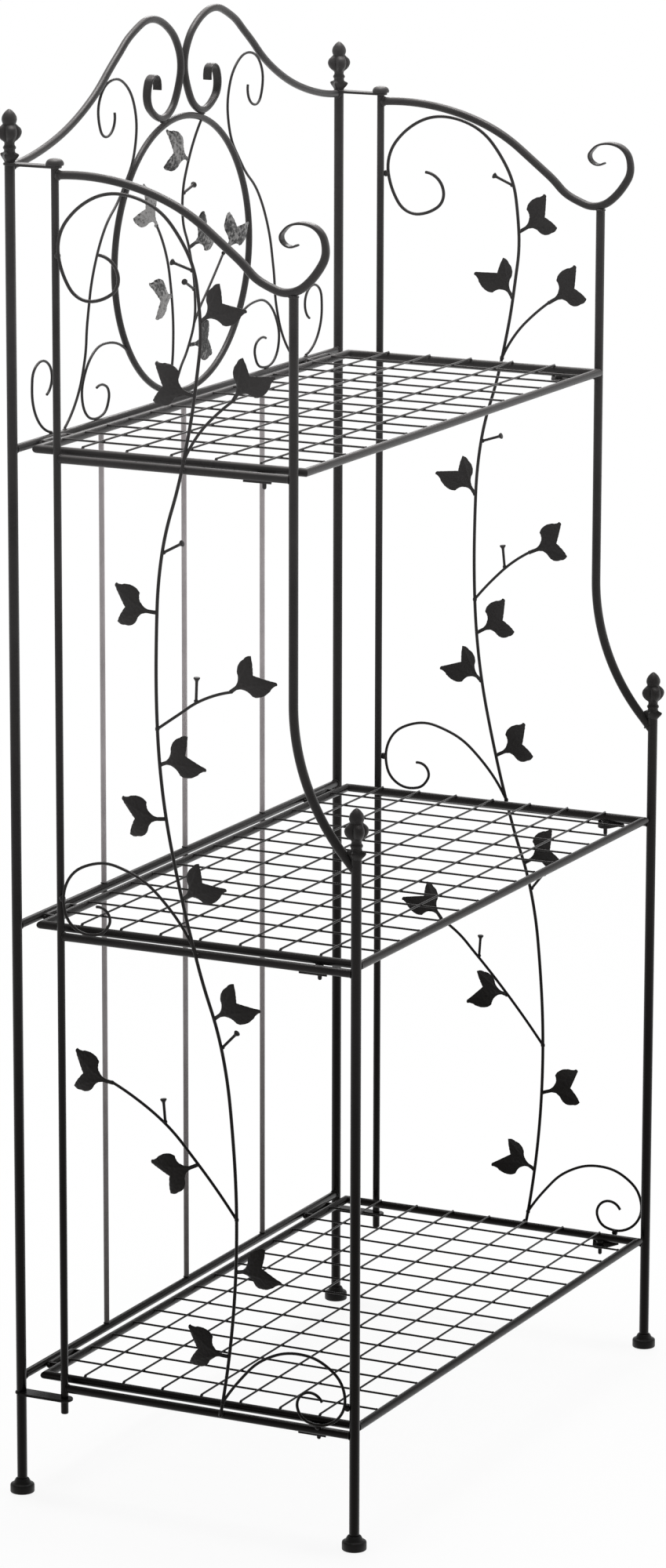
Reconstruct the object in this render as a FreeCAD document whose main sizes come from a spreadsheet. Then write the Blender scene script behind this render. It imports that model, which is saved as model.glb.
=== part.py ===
import FreeCAD, Part
import math
import os
import re
from FreeCAD import Placement, Rotation, Vector

# Folding bakers rack of bent steel tube and wire.
# X runs to the right, Y to the back, Z up. The origin is on the floor, in the middle of the four posts.

doc = FreeCAD.newDocument("bakers_rack")
sheet = doc.addObject("Spreadsheet::Sheet", "sizes")

# Driving dimensions, in millimetres
driving_sizes = (
    # posts, feet and finials
    ("post_spacing", 840),
    ("post_depth", 441),
    ("post_diameter", 12),
    ("tube_wall", 1.2),
    ("back_post_top", 1590),
    ("front_post_top", 824),
    ("foot_diameter", 29),
    ("foot_drum_height", 11),
    ("foot_shoulder_height", 6),
    ("foot_floor", 4),
    ("socket_clearance", 0.1),
    ("finial_height", 60),
    ("finial_width", 29),
    ("finial_spigot_length", 12),
    # rails and rods
    ("rail_diameter", 10),
    ("bottom_rail_height", 138),
    ("middle_rail_height", 690),
    ("top_rail_height", 1253),
    ("shelf_rise", 6),
    ("rod_diameter", 6.5),
    ("rod_spacing", 208),
    # side panels
    ("upright_setback", 58.5),
    ("upright_diameter", 9),
    ("upright_foot_height", 108),
    ("upright_top", 1586),
    ("front_tube_setback", 80),
    ("front_tube_diameter", 11),
    ("front_tube_knee_height", 900),
    ("front_tube_knee_run", 95),
    ("front_tube_landing", 809),
    ("arm_diameter", 10),
    ("arm_height", 1578),
    ("arm_fall", 114),
    ("arm_flat_width", 12),
    ("arm_flat_thickness", 2.6),
    # panel hinges
    ("bracket_width", 16),
    ("bracket_thickness", 3),
    ("bottom_bracket_drop", 12),
    ("bottom_bracket_margin", 4),
    ("hinge_clearance", 0.1),
    ("bolt_diameter", 6),
    ("bolt_length", 22),
    ("bolt_head_diameter", 21),
    ("bolt_head_height", 8),
    # crest, oval and scrolls of the back
    ("crest_diameter", 9),
    ("crest_base", 1585),
    ("crest_rise", 136),
    ("crest_flat_width", 14),
    ("crest_flat_thickness", 3.2),
    ("oval_diameter", 8),
    ("oval_width", 346),
    ("oval_height", 331),
    ("scroll_wire", 3.2),
    ("weld_gap", 0.05),
    # vines
    ("vine_wire", 4),
    ("branch_wire", 3.5),
    ("leaf_length", 57),
    ("leaf_thickness", 1.2),
    ("leaf_cup_radius", 95),
    ("bud_length", 27),
    ("bud_wire", 3),
    ("bud_head_diameter", 7),
    ("bud_head_height", 3),
    # shelves
    ("shelf_tube_diameter", 10),
    ("shelf_side_inset", 18),
    ("shelf_rear_gap", 23.5),
    ("shelf_front_inset", 3),
    ("top_shelf_overhang", 6),
    ("mesh_wire", 2.5),
    ("mesh_overlap", 3),
    # shelf hinges and locks
    ("barrel_diameter", 9),
    ("barrel_length", 52),
    ("barrel_offset", 340),
    ("hinge_pin_diameter", 5),
    ("hinge_running_fit", 0.05),
    ("hinge_side_play", 0.3),
    ("hinge_head_length", 2),
    ("lug_thickness", 3),
    ("lug_eye_diameter", 8),
    ("lock_setback", 52),
    ("lock_pin_diameter", 5),
    ("lock_pin_tip", 10),
    ("lock_collar_diameter", 9),
    ("lock_seat_gap", 0.3),
    ("tab_length", 36),
    ("tab_reach", 32),
    ("tab_thickness", 2.5),
    ("tab_corner", 6),
    ("tab_hole_diameter", 7.5),
)
for row, (alias, value) in enumerate(driving_sizes, start=1):
    sheet.set("A%d" % row, alias)
    sheet.set("B%d" % row, str(value))
    sheet.setAlias("B%d" % row, alias)
doc.recompute()


def size(alias):
    return float(sheet.get(alias))


def number(text):
    # the value of an expression of the sizes
    return float(sheet.evalExpression(text))


# Counts
deep_long_wires = 7
shallow_long_wires = 5
cross_wires = 14
finial_petals = 4

axis_x = Vector(1, 0, 0)
axis_y = Vector(0, 1, 0)
axis_z = Vector(0, 0, 1)

# Places that several pieces share, as expressions of the sizes
side_x = {"left": "-post_spacing / 2", "right": "post_spacing / 2"}
side_sign = {"left": -1, "right": 1}
back_y = "post_depth / 2"
front_y = "-post_depth / 2"
upright_y = "post_depth / 2 - upright_setback"
front_tube_y = "front_tube_setback - post_depth / 2"
rail_heights = {
    "bottom": "bottom_rail_height",
    "middle": "middle_rail_height",
    "top": "top_rail_height",
}

# The same places as numbers, for bent wire and pressed sheet
half_spacing = size("post_spacing") / 2
back_plane = size("post_depth") / 2
oval_bottom = size("top_rail_height") + size("shelf_rise") + size("rail_diameter") / 2
oval_bottom += size("oval_diameter") / 2 + size("weld_gap")
oval_centre = Vector(0, back_plane, oval_bottom + size("oval_height") / 2)

nodes = []


def bind(piece, property_name, text):
    # every word of the text that is not a function is a size of the sheet
    piece.setExpression(property_name, re.sub(r"\b[a-z_]+\b(?!\()", r"sizes.\g<0>", text))


def seat(piece, place, turn=Rotation()):
    piece.Placement = Placement(Vector(), turn)
    for letter, text in zip("xyz", place):
        bind(piece, "Placement.Base." + letter, text)
    return piece


def keep(name, piece):
    piece.Label = name
    nodes.append(piece)
    return piece


def bar(name, diameter, length, place, direction):
    piece = doc.addObject("Part::Cylinder", name)
    bind(piece, "Radius", "(%s) / 2" % diameter)
    bind(piece, "Height", length)
    return seat(piece, place, Rotation(axis_z, direction))


def fused(name, pieces):
    piece = doc.addObject("Part::MultiFuse", name)
    piece.Shapes = pieces
    return piece


def grouped(name, pieces):
    piece = doc.addObject("Part::Compound", name)
    piece.Links = pieces
    return piece


def cut(name, base, tools):
    piece = doc.addObject("Part::Cut", name)
    piece.Base = base
    piece.Tool = tools[0] if len(tools) == 1 else grouped(name + "_tools", tools)
    return piece


def shaped(name, shape):
    piece = doc.addObject("Part::Feature", name)
    piece.Shape = shape
    return piece


def tube(name, diameter, length, place, direction, tools=()):
    # hollow tube, its ends coped to the tools
    outside = bar(name + "_outside", diameter, length, place, direction)
    bore = bar(name + "_bore", "%s - 2 * tube_wall" % diameter, length, place, direction)
    return cut(name, outside, [bore] + list(tools))


# Bent wire: a smooth chain of arcs through hand-chosen points, with a round section
def circle_heading(first, second, third, at):
    normal = (second - first).cross(third - second)
    if normal.Length < 1e-9 * (third - first).Length ** 2:
        return (third - first).normalize()
    return normal.cross(at - Part.Circle(first, second, third).Center).normalize()


def headings(points, closed):
    count = len(points)
    result = []
    for index, point in enumerate(points):
        middle = index if closed else min(max(index, 1), count - 2)
        before = points[middle - 1]
        after = points[(middle + 1) % count]
        result.append(circle_heading(before, points[middle], after, point))
    return result


def tangent_arc(start, heading, end):
    chord = end - start
    turn = heading.getAngle(chord)
    if turn < 1e-6:
        return Part.LineSegment(start, end).toShape()
    normal = heading.cross(chord).normalize()
    outward = chord.cross(normal).normalize()
    middle = start + chord / 2 + outward * (chord.Length / 2 * math.tan(turn / 2))
    return Part.Arc(start, middle, end).toShape()


def smooth_path(points, closed=False):
    turns = headings(points, closed)
    ends = list(zip(points, turns))
    if closed:
        ends.append(ends[0])
    edges = []
    for (start, heading), (end, last_heading) in zip(ends, ends[1:]):
        chord = end - start
        along = chord.dot(heading + last_heading)
        bend = 2 * (1 - heading.dot(last_heading))
        if bend < 1e-9:
            reach = chord.dot(chord) / (2 * along)
        else:
            reach = (math.sqrt(along ** 2 + bend * chord.dot(chord)) - along) / bend
        middle = (start + end + (heading - last_heading) * reach) / 2
        edges.append(tangent_arc(start, heading, middle))
        edges.append(tangent_arc(end, -last_heading, middle))
    return Part.Wire(Part.__sortEdges__(edges)), turns[0]


def bent_wire(name, diameter, points, closed=False):
    wire, heading = smooth_path(points, closed)
    return swept(name, diameter, wire, points[0], heading)


def swept(name, diameter, wire, start, heading):
    path = shaped(name + "_path", wire)
    section = doc.addObject("Part::Circle", name + "_section")
    bind(section, "Radius", "(%s) / 2" % diameter)
    section.Placement = Placement(start, Rotation(axis_z, heading))
    piece = doc.addObject("Part::Sweep", name)
    piece.Sections = [section]
    piece.Spine = (path, ["Edge%d" % (index + 1) for index in range(len(wire.Edges))])
    piece.Solid = True
    piece.Frenet = False
    return piece


def hammered_bar(name, diameter, points, round_points, width, thickness, across):
    # a round bar that is hammered flat from one of its points to its end
    edges = smooth_path(points)[0].Edges
    turns = headings(points, False)
    edge_count = 2 * round_points
    body = swept(name + "_round", diameter, Part.Wire(edges[:edge_count]), points[0], turns[0])
    tail = swept(name + "_flat", diameter, Part.Wire(edges[edge_count:]),
                 points[round_points], turns[round_points])
    tip = doc.addObject("Part::Ellipse", name + "_tip")
    bind(tip, "MajorRadius", width + " / 2")
    bind(tip, "MinorRadius", thickness + " / 2")
    tip.Placement = Placement(points[-1], Rotation(across, turns[-1].cross(across), turns[-1], "XYZ"))
    tail.Sections = tail.Sections + [tip]
    return fused(name, [body, tail])


# Posts
def post(name, x, y, top):
    keep(name, tube(name, "post_diameter", top + " - foot_floor", (x, y, "foot_floor"), axis_z))
    return bar(name + "_solid", "post_diameter", top, (x, y, "0"), axis_z)


def side_piece(kind, side):
    return "%s_%s" % (side, kind)


back_posts = {}
front_posts = {}
for side, x in side_x.items():
    back_posts[side] = post("back_post_" + side, x, back_y, "back_post_top")
    front_posts[side] = post("front_post_" + side, x, front_y, "front_post_top")


# Feet: a drum with a conical shoulder and a socket for the post
def foot(name, x, y):
    drum = bar(name + "_drum", "foot_diameter", "foot_drum_height", (x, y, "0"), axis_z)
    shoulder = doc.addObject("Part::Cone", name + "_shoulder")
    bind(shoulder, "Radius1", "foot_diameter / 2")
    bind(shoulder, "Radius2", "post_diameter / 2 + tube_wall")
    bind(shoulder, "Height", "foot_shoulder_height")
    seat(shoulder, (x, y, "foot_drum_height"))
    socket = bar(name + "_socket", "post_diameter + 2 * socket_clearance",
                 "foot_drum_height + foot_shoulder_height", (x, y, "foot_floor"), axis_z)
    return cut(name, fused(name + "_body", [drum, shoulder]), [socket])


feet = []
for side, x in side_x.items():
    feet.append(foot("back_foot_" + side, x, back_y))
    feet.append(foot("front_foot_" + side, x, front_y))
keep("feet", grouped("feet", feet))

# Finials: a turned core with a crown of points, petals round the bulb and a pointed bud
# Each row is a radius as a share of half the finial's width, and a height as a share of its height
core_profile_shares = (
    (0.42, 0.00), (0.44, 0.20), (0.50, 0.27), (0.43, 0.33), (0.40, 0.38), (0.50, 0.55),
    (0.52, 0.70), (0.59, 0.78), (0.56, 0.86), (0.36, 0.94), (0.00, 1.00),
)
crown_profile_shares = ((0.42, 0.00), (0.60, 0.08), (0.85, 0.19), (0.74, 0.19), (0.42, 0.10))
crown_scallop_share = 0.36
petal_height_share = 0.55
petal_reach_share = 0.53
petal_radius_share = 0.47


def turned(profile_shares, radius, height):
    points = [Vector(radius * across, 0, height * up) for across, up in profile_shares]
    if points[-1].x > 0:
        return Part.Face(Part.makePolygon(points + points[:1])).revolve(Vector(), axis_z, 360)
    outline = [Vector()] + points + [Vector()]
    return Part.Face(Part.makePolygon(outline)).revolve(Vector(), axis_z, 360)


def finial_shape():
    radius = size("finial_width") / 2
    height = size("finial_height")
    crown = turned(crown_profile_shares, radius, height)
    crown_top = axis_z * height * crown_profile_shares[2][1]
    petals = []
    for index in range(finial_petals):
        outward = Rotation(axis_z, 360 / finial_petals * index).multVec(axis_x)
        scallop = Part.makeCylinder(radius * crown_scallop_share, radius * 2, crown_top, outward)
        crown = crown.cut(scallop)
        petal_centre = outward * radius * petal_reach_share + axis_z * height * petal_height_share
        petals.append(Part.makeSphere(radius * petal_radius_share, petal_centre))
    spigot_radius = size("post_diameter") / 2 - size("tube_wall") - size("socket_clearance")
    piece = turned(core_profile_shares, radius, height)
    piece = piece.fuse(Part.makeCylinder(spigot_radius, size("finial_spigot_length"), Vector(), -axis_z))
    for addition in [crown] + petals:
        piece = piece.fuse(addition)
    return piece


finial = finial_shape()


def finials(name, y, top):
    pieces = []
    for side, x in side_x.items():
        piece = shaped("%s_%s" % (name, side), finial)
        pieces.append(seat(piece, (x, y, top), Rotation(axis_z, 180 / finial_petals)))
    return keep(name, grouped(name, pieces))


finials("back_finials", back_y, "back_post_top")
finials("front_finials", front_y, "front_post_top")

# Back rails between the posts, and the rods between the rails
back_rails = {}
for level, height in rail_heights.items():
    place = ("-post_spacing / 2", back_y, height + " + shelf_rise")
    name = "back_rail_" + level
    keep(name, tube(name, "rail_diameter", "post_spacing", place, axis_x, list(back_posts.values())))
    back_rails[level] = bar(name + "_solid", "rail_diameter", "post_spacing", place, axis_x)

rod_places = {"left": "-rod_spacing", "centre": "0", "right": "rod_spacing"}
for place_name, x in rod_places.items():
    name = "back_rod_" + place_name
    place = (x, back_y, "bottom_rail_height + shelf_rise")
    rod = bar(name + "_solid", "rod_diameter", "top_rail_height - bottom_rail_height", place, axis_z)
    keep(name, cut(name, rod, list(back_rails.values())))

# Rear uprights
uprights = {}
for side, x in side_x.items():
    name = side_piece("rear_upright", side)
    place = (x, upright_y, "upright_foot_height")
    length = "upright_top - upright_foot_height"
    keep(name, tube(name, "upright_diameter", length, place, axis_z))
    uprights[side] = bar(name + "_solid", "upright_diameter", length, place, axis_z)

# Top arms: from the upright down to the front tube, then up into a curl that ends flat
# Each row is a share of the run from upright to front tube, and a share of the fall
arm_shares = (
    (0.0, 0.0), (0.23, 0.015), (0.5, 0.22), (0.76, 0.69), (0.869, 0.925), (0.99, 1.0),
    (1.087, 0.82), (1.132, 0.556), (1.112, 0.395), (1.029, 0.313), (0.968, 0.375), (0.949, 0.465),
    (0.976, 0.545), (1.013, 0.532),
)
arm_round_points = 6
# A coped end starts this share of the neighbour's diameter away from the neighbour's axis
cope_share = 0.25
arms = {}
for side in side_x:
    start_y = back_plane - size("upright_setback") - size("upright_diameter") * cope_share
    run = start_y - number(front_tube_y)
    arm_x = half_spacing * side_sign[side]
    points = [Vector(arm_x, start_y - run * along, size("arm_height") - size("arm_fall") * down)
              for along, down in arm_shares]
    name = side_piece("top_arm", side)
    arms[side] = hammered_bar(name + "_bar", "arm_diameter", points, arm_round_points,
                              "arm_flat_width", "arm_flat_thickness", axis_x)
    keep(name, cut(name, arms[side], [uprights[side]]))


# Front upper tubes: straight down from the arm, then a wide knee out to the front post
def front_tube_path(x):
    start = Vector(x, number(front_tube_y), size("arm_height") - size("arm_fall"))
    start.z -= size("arm_diameter") * cope_share
    knee = Vector(start.x, start.y, size("front_tube_knee_height"))
    landing = Vector(x, -back_plane, size("front_tube_landing"))
    slope = (landing - knee).normalize()
    run = size("front_tube_knee_run")
    bend_start = knee + axis_z * run
    bend_end = knee + slope * run
    edges = [
        Part.LineSegment(start, bend_start).toShape(),
        tangent_arc(bend_start, -axis_z, bend_end),
        Part.LineSegment(bend_end, landing).toShape(),
    ]
    return Part.Wire(edges), start


front_tubes = {}
for side in side_x:
    wire, start = front_tube_path(half_spacing * side_sign[side])
    name = side_piece("front_upper_tube", side)
    outside = swept(name + "_outside", "front_tube_diameter", wire, start, -axis_z)
    bore = swept(name + "_bore", "front_tube_diameter - 2 * tube_wall", wire, start, -axis_z)
    keep(name, cut(name, outside, [bore, arms[side], front_posts[side]]))
    front_tubes[side] = outside

# Side rails from the upright to the front post or, on top, to the front tube
for side, x in side_x.items():
    for level, height in rail_heights.items():
        name = side_piece("rail_" + level, side)
        front_end = front_tubes if level == "top" else front_posts
        far_end = "post_depth - front_tube_setback" if level == "top" else "post_depth"
        start = "upright_setback + upright_diameter * %s" % cope_share
        place = (x, "post_depth / 2 - (%s)" % start, height)
        keep(name, tube(name, "rail_diameter", "%s - (%s)" % (far_end, start), place, -axis_y,
                        [uprights[side], front_end[side]]))


# Crest: two mirrored bars that rise from the posts, meet in the middle and rest on the oval in hooks,
# their flat ends rolled in
# Each row is a share of the run from the middle to the post, and a share of the rise
crest_shares = (
    (1.0, 0.0), (0.942, 0.012), (0.803, 0.088), (0.663, 0.22), (0.533, 0.41), (0.386, 0.725),
    (0.304, 0.89), (0.172, 1.0), (0.0876, 0.92), (0.03, 0.78), (0.0, 0.58), (0.02, 0.34),
    (0.056, 0.19), (0.107, 0.122), (0.163, 0.166), (0.203, 0.29), (0.202, 0.41), (0.182, 0.5),
    (0.16, 0.505), (0.143, 0.455), (0.15, 0.4), (0.163, 0.395),
)
crest_round_points = 14
crest_middle = size("crest_diameter") / 2 + size("weld_gap")
crest_bars = {}
for side, sign in side_sign.items():
    points = [Vector(sign * (crest_middle + (half_spacing - crest_middle) * across), back_plane,
                     size("crest_base") + size("crest_rise") * up) for across, up in crest_shares]
    name = "crest_scroll_" + side
    crest_bars[side] = hammered_bar(name + "_bar", "crest_diameter", points, crest_round_points,
                                    "crest_flat_width", "crest_flat_thickness", axis_y)
    keep(name, cut(name, crest_bars[side], [back_posts[side]]))


# Panel hinges: flat brackets from the back post, round the upright
def bracket(name, x, width, bottom, hole, neighbours):
    plate = doc.addObject("Part::Box", name + "_plate")
    bind(plate, "Length", width)
    bind(plate, "Width", "upright_setback")
    bind(plate, "Height", "bracket_thickness")
    seat(plate, ("%s - (%s) / 2" % (x, width), upright_y, bottom))
    place = (x, upright_y, bottom)
    nose = bar(name + "_nose", width, "bracket_thickness", place, axis_z)
    eye = bar(name + "_eye", hole, "bracket_thickness", place, axis_z)
    return cut(name, fused(name + "_body", [plate, nose]), [eye] + neighbours)


# The dome's profile: radius and height as shares of half the head's diameter and of its height
bolt_dome_shares = ((1.0, 0.0), (1.0, 0.35), (0.88, 0.7), (0.55, 0.95), (0.0, 1.0))


def bolt(name, x):
    head = turned(bolt_dome_shares, size("bolt_head_diameter") / 2, size("bolt_head_height"))
    shank = Part.makeCylinder(size("bolt_diameter") / 2, size("bolt_length"), Vector(), -axis_z)
    piece = shaped(name, head.fuse(shank).removeSplitter())
    return seat(piece, (x, upright_y, "upright_top + bracket_thickness"))


top_brackets = []
bottom_brackets = []
bolts = []
bolt_hole = "bolt_diameter + 2 * hinge_clearance"
upright_hole = "upright_diameter + 2 * hinge_clearance"
wide_bracket = "bracket_width + bottom_bracket_margin"
for side, x in side_x.items():
    top_brackets.append(bracket("top_bracket_" + side, x, "bracket_width", "upright_top",
                                bolt_hole, [back_posts[side], crest_bars[side]]))
    bottom_brackets.append(bracket("bottom_bracket_" + side, x, wide_bracket,
                                   "bottom_rail_height - bottom_bracket_drop - bracket_thickness",
                                   upright_hole, [back_posts[side]]))
    bolts.append(bolt("hinge_bolt_" + side, x))
keep("top_hinge_brackets", grouped("top_hinge_brackets", top_brackets))
keep("bottom_hinge_brackets", grouped("bottom_hinge_brackets", bottom_brackets))
keep("hinge_bolts", grouped("hinge_bolts", bolts))


# The oval on the top back rail
def in_oval(across, up):
    return oval_centre + Vector(across * size("oval_width") / 2, 0, up * size("oval_height") / 2)


oval_steps = 8
oval_points = []
for step in range(oval_steps):
    angle = 2 * math.pi * step / oval_steps
    oval_points.append(in_oval(math.cos(angle), math.sin(angle)))
oval = keep("oval_ring", bent_wire("oval_ring", "oval_diameter", oval_points, closed=True))

# Wire scrolls on the top back rail, beside the oval: the S, the C and the hook
# Each row is a share of half the post spacing, and a share of the height from rail to post top
back_scroll_shares = {
    "long_s": (
        (0.405, 1.092), (0.45, 1.012), (0.5, 1.099), (0.474, 1.18), (0.407, 1.213), (0.319, 1.163),
        (0.281, 1.068), (0.291, 0.932), (0.367, 0.797), (0.472, 0.673), (0.538, 0.522),
        (0.569, 0.371), (0.588, 0.223), (0.629, 0.103), (0.705, 0.0),
    ),
    "c_scroll": (
        (0.313, 0.186), (0.372, 0.24), (0.436, 0.262), (0.521, 0.252), (0.581, 0.187), (0.605, 0.097),
        (0.583, 0.029), (0.521, 0.0), (0.457, 0.035), (0.45, 0.088), (0.484, 0.117), (0.519, 0.112),
    ),
    "hook": (
        (0.781, 0.0), (0.857, 0.057), (0.888, 0.162), (0.871, 0.245), (0.817, 0.263),
        (0.776, 0.208), (0.805, 0.14),
    ),
}
scroll_base = size("top_rail_height") + size("shelf_rise") + size("rail_diameter") / 2
scroll_base += size("scroll_wire") / 2 + size("weld_gap")
scroll_rise = size("back_post_top") - scroll_base
for side, sign in side_sign.items():
    wires = []
    for kind, shares in back_scroll_shares.items():
        points = [Vector(sign * half_spacing * across, back_plane, scroll_base + scroll_rise * up)
                  for across, up in shares]
        wires.append(bent_wire("back_%s_%s" % (kind, side), "scroll_wire", points))
    wires[1] = cut("back_c_scroll_end_" + side, wires[1], [oval])
    keep("back_scrolls_" + side, grouped("back_scrolls_" + side, wires))

# Leaf pairs: pressed sheet, a stalk and two pointed lobes, the right one longer, cupped
# Points along and across the leaf, as shares of its length: the left edge of the stalk, then the
# arcs round the two lobes to the stalk's other edge, each with a point on the way and its end
leaf_stalk_shares = ((0.0, 0.04), (0.18, 0.04))
leaf_arc_shares = (
    ((0.30, 0.08), (0.38, 0.18)), ((0.46, 0.33), (0.66, 0.40)), ((0.77, 0.405), (0.84, 0.37)),
    ((0.77, 0.18), (0.68, 0.02)), ((0.80, -0.12), (1.0, -0.36)), ((0.86, -0.41), (0.66, -0.44)),
    ((0.50, -0.41), (0.41, -0.33)), ((0.335, -0.13), (0.18, -0.04)),
)
leaf_crown_share = 0.56


def leaf_shape():
    length = size("leaf_length")

    def spot(along, across):
        return Vector(along * length, across * length, 0)

    root, start = [spot(*shares) for shares in leaf_stalk_shares]
    other_root = Vector(root.x, -root.y, 0)
    edges = [
        Part.LineSegment(other_root, root).toShape(),
        Part.LineSegment(root, start).toShape(),
    ]
    for way_shares, end_shares in leaf_arc_shares:
        end = spot(*end_shares)
        edges.append(Part.Arc(start, spot(*way_shares), end).toShape())
        start = end
    edges.append(Part.LineSegment(start, other_root).toShape())
    outline = Part.Wire(edges)
    radius = size("leaf_cup_radius")
    thickness = size("leaf_thickness")
    crown = length * leaf_crown_share
    depth = math.sqrt(radius ** 2 - crown ** 2)
    centre = Vector(crown, 0, -depth)
    sheet_metal = Part.makeSphere(radius + thickness / 2, centre)
    sheet_metal = sheet_metal.cut(Part.makeSphere(radius - thickness / 2, centre))
    block = Part.Face(outline).extrude(axis_z * radius)
    block.translate(axis_z * -crown)
    return block.common(sheet_metal).Solids[0]


leaf = leaf_shape()


def bud_shape():
    # a short nail: a stem and a flared head, standing on Z
    stem = Part.makeCylinder(size("bud_wire") / 2, size("bud_length"))
    head = Part.makeCone(size("bud_wire") / 2, size("bud_head_diameter") / 2, size("bud_head_height"),
                         axis_z * size("bud_length"))
    return stem.fuse(head).removeSplitter()


bud = bud_shape()


def nearest_on(carriers, point):
    # the point of the carriers' centre lines that is nearest to a chosen place
    best = None
    for carrier in carriers:
        distance, pairs, _ = carrier.distToShape(Part.Vertex(point))
        if best is None or distance < best[0]:
            best = (distance, pairs[0][0])
    return best[1]


def in_plane(across, degrees):
    # the direction that is turned by degrees from a level one towards the top
    turn = math.radians(degrees)
    return across * math.cos(turn) + axis_z * math.sin(turn)


def placed(shape, at, turn):
    piece = shape.copy()
    piece.Placement = Placement(at, turn)
    return piece


# Vine of the oval. Each row is a share of half the oval's width and of half its height
oval_stem_shares = {
    "tall": (
        (0.289, 0.957), (0.087, 0.674), (0.0, 0.45), (0.0, 0.239), (0.087, 0.033), (0.168, -0.263),
        (0.162, -0.523), (0.064, -0.704), (-0.058, -0.849), (-0.139, -0.99),
    ),
    "short": (
        (-0.382, 0.245), (-0.249, 0.021), (-0.173, -0.281), (-0.15, -0.571), (-0.173, -0.807),
        (-0.231, -0.973),
    ),
    "branch": ((0.595, -0.082), (0.382, -0.299), (0.243, -0.432), (0.165, -0.535)),
}
# Leaves and buds: place in the same shares, then the heading in degrees, counted from the right
oval_leaf_places_shares = (
    (0.087, 0.674, 160), (-0.382, 0.245, 139), (0.087, 0.033, 27), (0.595, -0.082, 55),
    (-0.173, -0.281, 181), (0.08, -0.68, 3),
)
oval_bud_places_shares = ((0.0, 0.438, 15), (0.155, -0.287, 154))
stems = {}
for kind, shares in oval_stem_shares.items():
    points = [in_oval(across, up) for across, up in shares]
    if kind == "branch":
        points[-1] = nearest_on([doc.getObject("oval_stem_tall_path").Shape], points[-1])
    diameter = "bud_wire" if kind == "branch" else "scroll_wire"
    stems[kind] = bent_wire("oval_stem_" + kind, diameter, points)


def largest(shape):
    return max(shape.Solids, key=lambda solid: solid.Volume)


def grow(name, carriers, across, normal, place, leaf_places, bud_places):
    # leaves and buds, each starting on the nearest wire and coped to the wires
    doc.recompute()
    paths = [doc.getObject(carrier.Name + "_path").Shape for carrier in carriers]
    wires = Part.makeCompound([carrier.Shape for carrier in carriers])
    leaves = []
    for index, (along, up, degrees) in enumerate(leaf_places):
        root = nearest_on(paths, place(along, up))
        heading = in_plane(across, degrees)
        turn = Rotation(heading, normal.cross(heading), normal, "XYZ")
        shape = largest(placed(leaf, root, turn).cut(wires))
        leaves.append(shaped("%s_leaf_%d" % (name, index), shape))
    buds = []
    for index, (along, up, degrees) in enumerate(bud_places):
        root = nearest_on(paths, place(along, up))
        turn = Rotation(axis_z, in_plane(across, degrees))
        shape = largest(placed(bud, root, turn).cut(wires))
        buds.append(shaped("%s_bud_%d" % (name, index), shape))
    return leaves, buds


oval_leaves, oval_buds = grow("oval", list(stems.values()), axis_x, -axis_y, in_oval,
                              oval_leaf_places_shares, oval_bud_places_shares)
oval_wires = [
    cut("oval_tall_stem", stems["tall"], [oval]),
    cut("oval_short_stem", stems["short"], [oval]),
    cut("oval_branch", stems["branch"], [stems["tall"]]),
]
keep("oval_vine", grouped("oval_vine", oval_wires + oval_buds))
keep("oval_leaves", grouped("oval_leaves", oval_leaves))

# Vine of a side panel, on the outer face of the rails
# Each row is a share of the panel's depth, counted forward, and of the height from bottom rail to arm
vine_shares = {
    "stem": (
        (0.268, 0.94), (0.324, 0.924), (0.249, 0.903), (0.15, 0.937), (0.249, 0.984), (0.413, 0.983),
        (0.522, 0.948), (0.56, 0.894), (0.544, 0.836), (0.508, 0.778), (0.447, 0.706), (0.429, 0.619),
        (0.449, 0.508), (0.503, 0.427), (0.549, 0.375), (0.617, 0.309), (0.655, 0.217), (0.658, 0.119),
        (0.612, 0.0),
    ),
    "top_branch": ((0.51, 0.782), (0.551, 0.803), (0.624, 0.826), (0.653, 0.833)),
    "middle_scroll": (
        (0.537, 0.388), (0.474, 0.416), (0.363, 0.443), (0.252, 0.449), (0.168, 0.434), (0.15, 0.416),
        (0.172, 0.396), (0.229, 0.389), (0.274, 0.394), (0.288, 0.405), (0.249, 0.413),
    ),
    "bottom_scroll": (
        (0.617, 0.012), (0.664, 0.031), (0.737, 0.053), (0.825, 0.063), (0.912, 0.059), (0.973, 0.041),
        (0.977, 0.024), (0.943, 0.01), (0.898, 0.006), (0.848, 0.0125), (0.841, 0.024), (0.868, 0.032),
        (0.912, 0.026),
    ),
}
# The two lower branches are bent by hand and differ from side to side
vine_branch_shares = {
    "left": {
        "middle_branch": ((0.431, 0.565), (0.492, 0.578), (0.549, 0.59), (0.644, 0.601)),
        "bottom_branch": ((0.656, 0.168), (0.551, 0.209), (0.451, 0.24), (0.356, 0.259), (0.297, 0.268)),
    },
    "right": {
        "middle_branch": ((0.431, 0.566), (0.472, 0.58), (0.568, 0.606), (0.6, 0.612)),
        "bottom_branch": ((0.656, 0.168), (0.551, 0.209), (0.451, 0.242), (0.38, 0.263), (0.334, 0.272)),
    },
}
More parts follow.
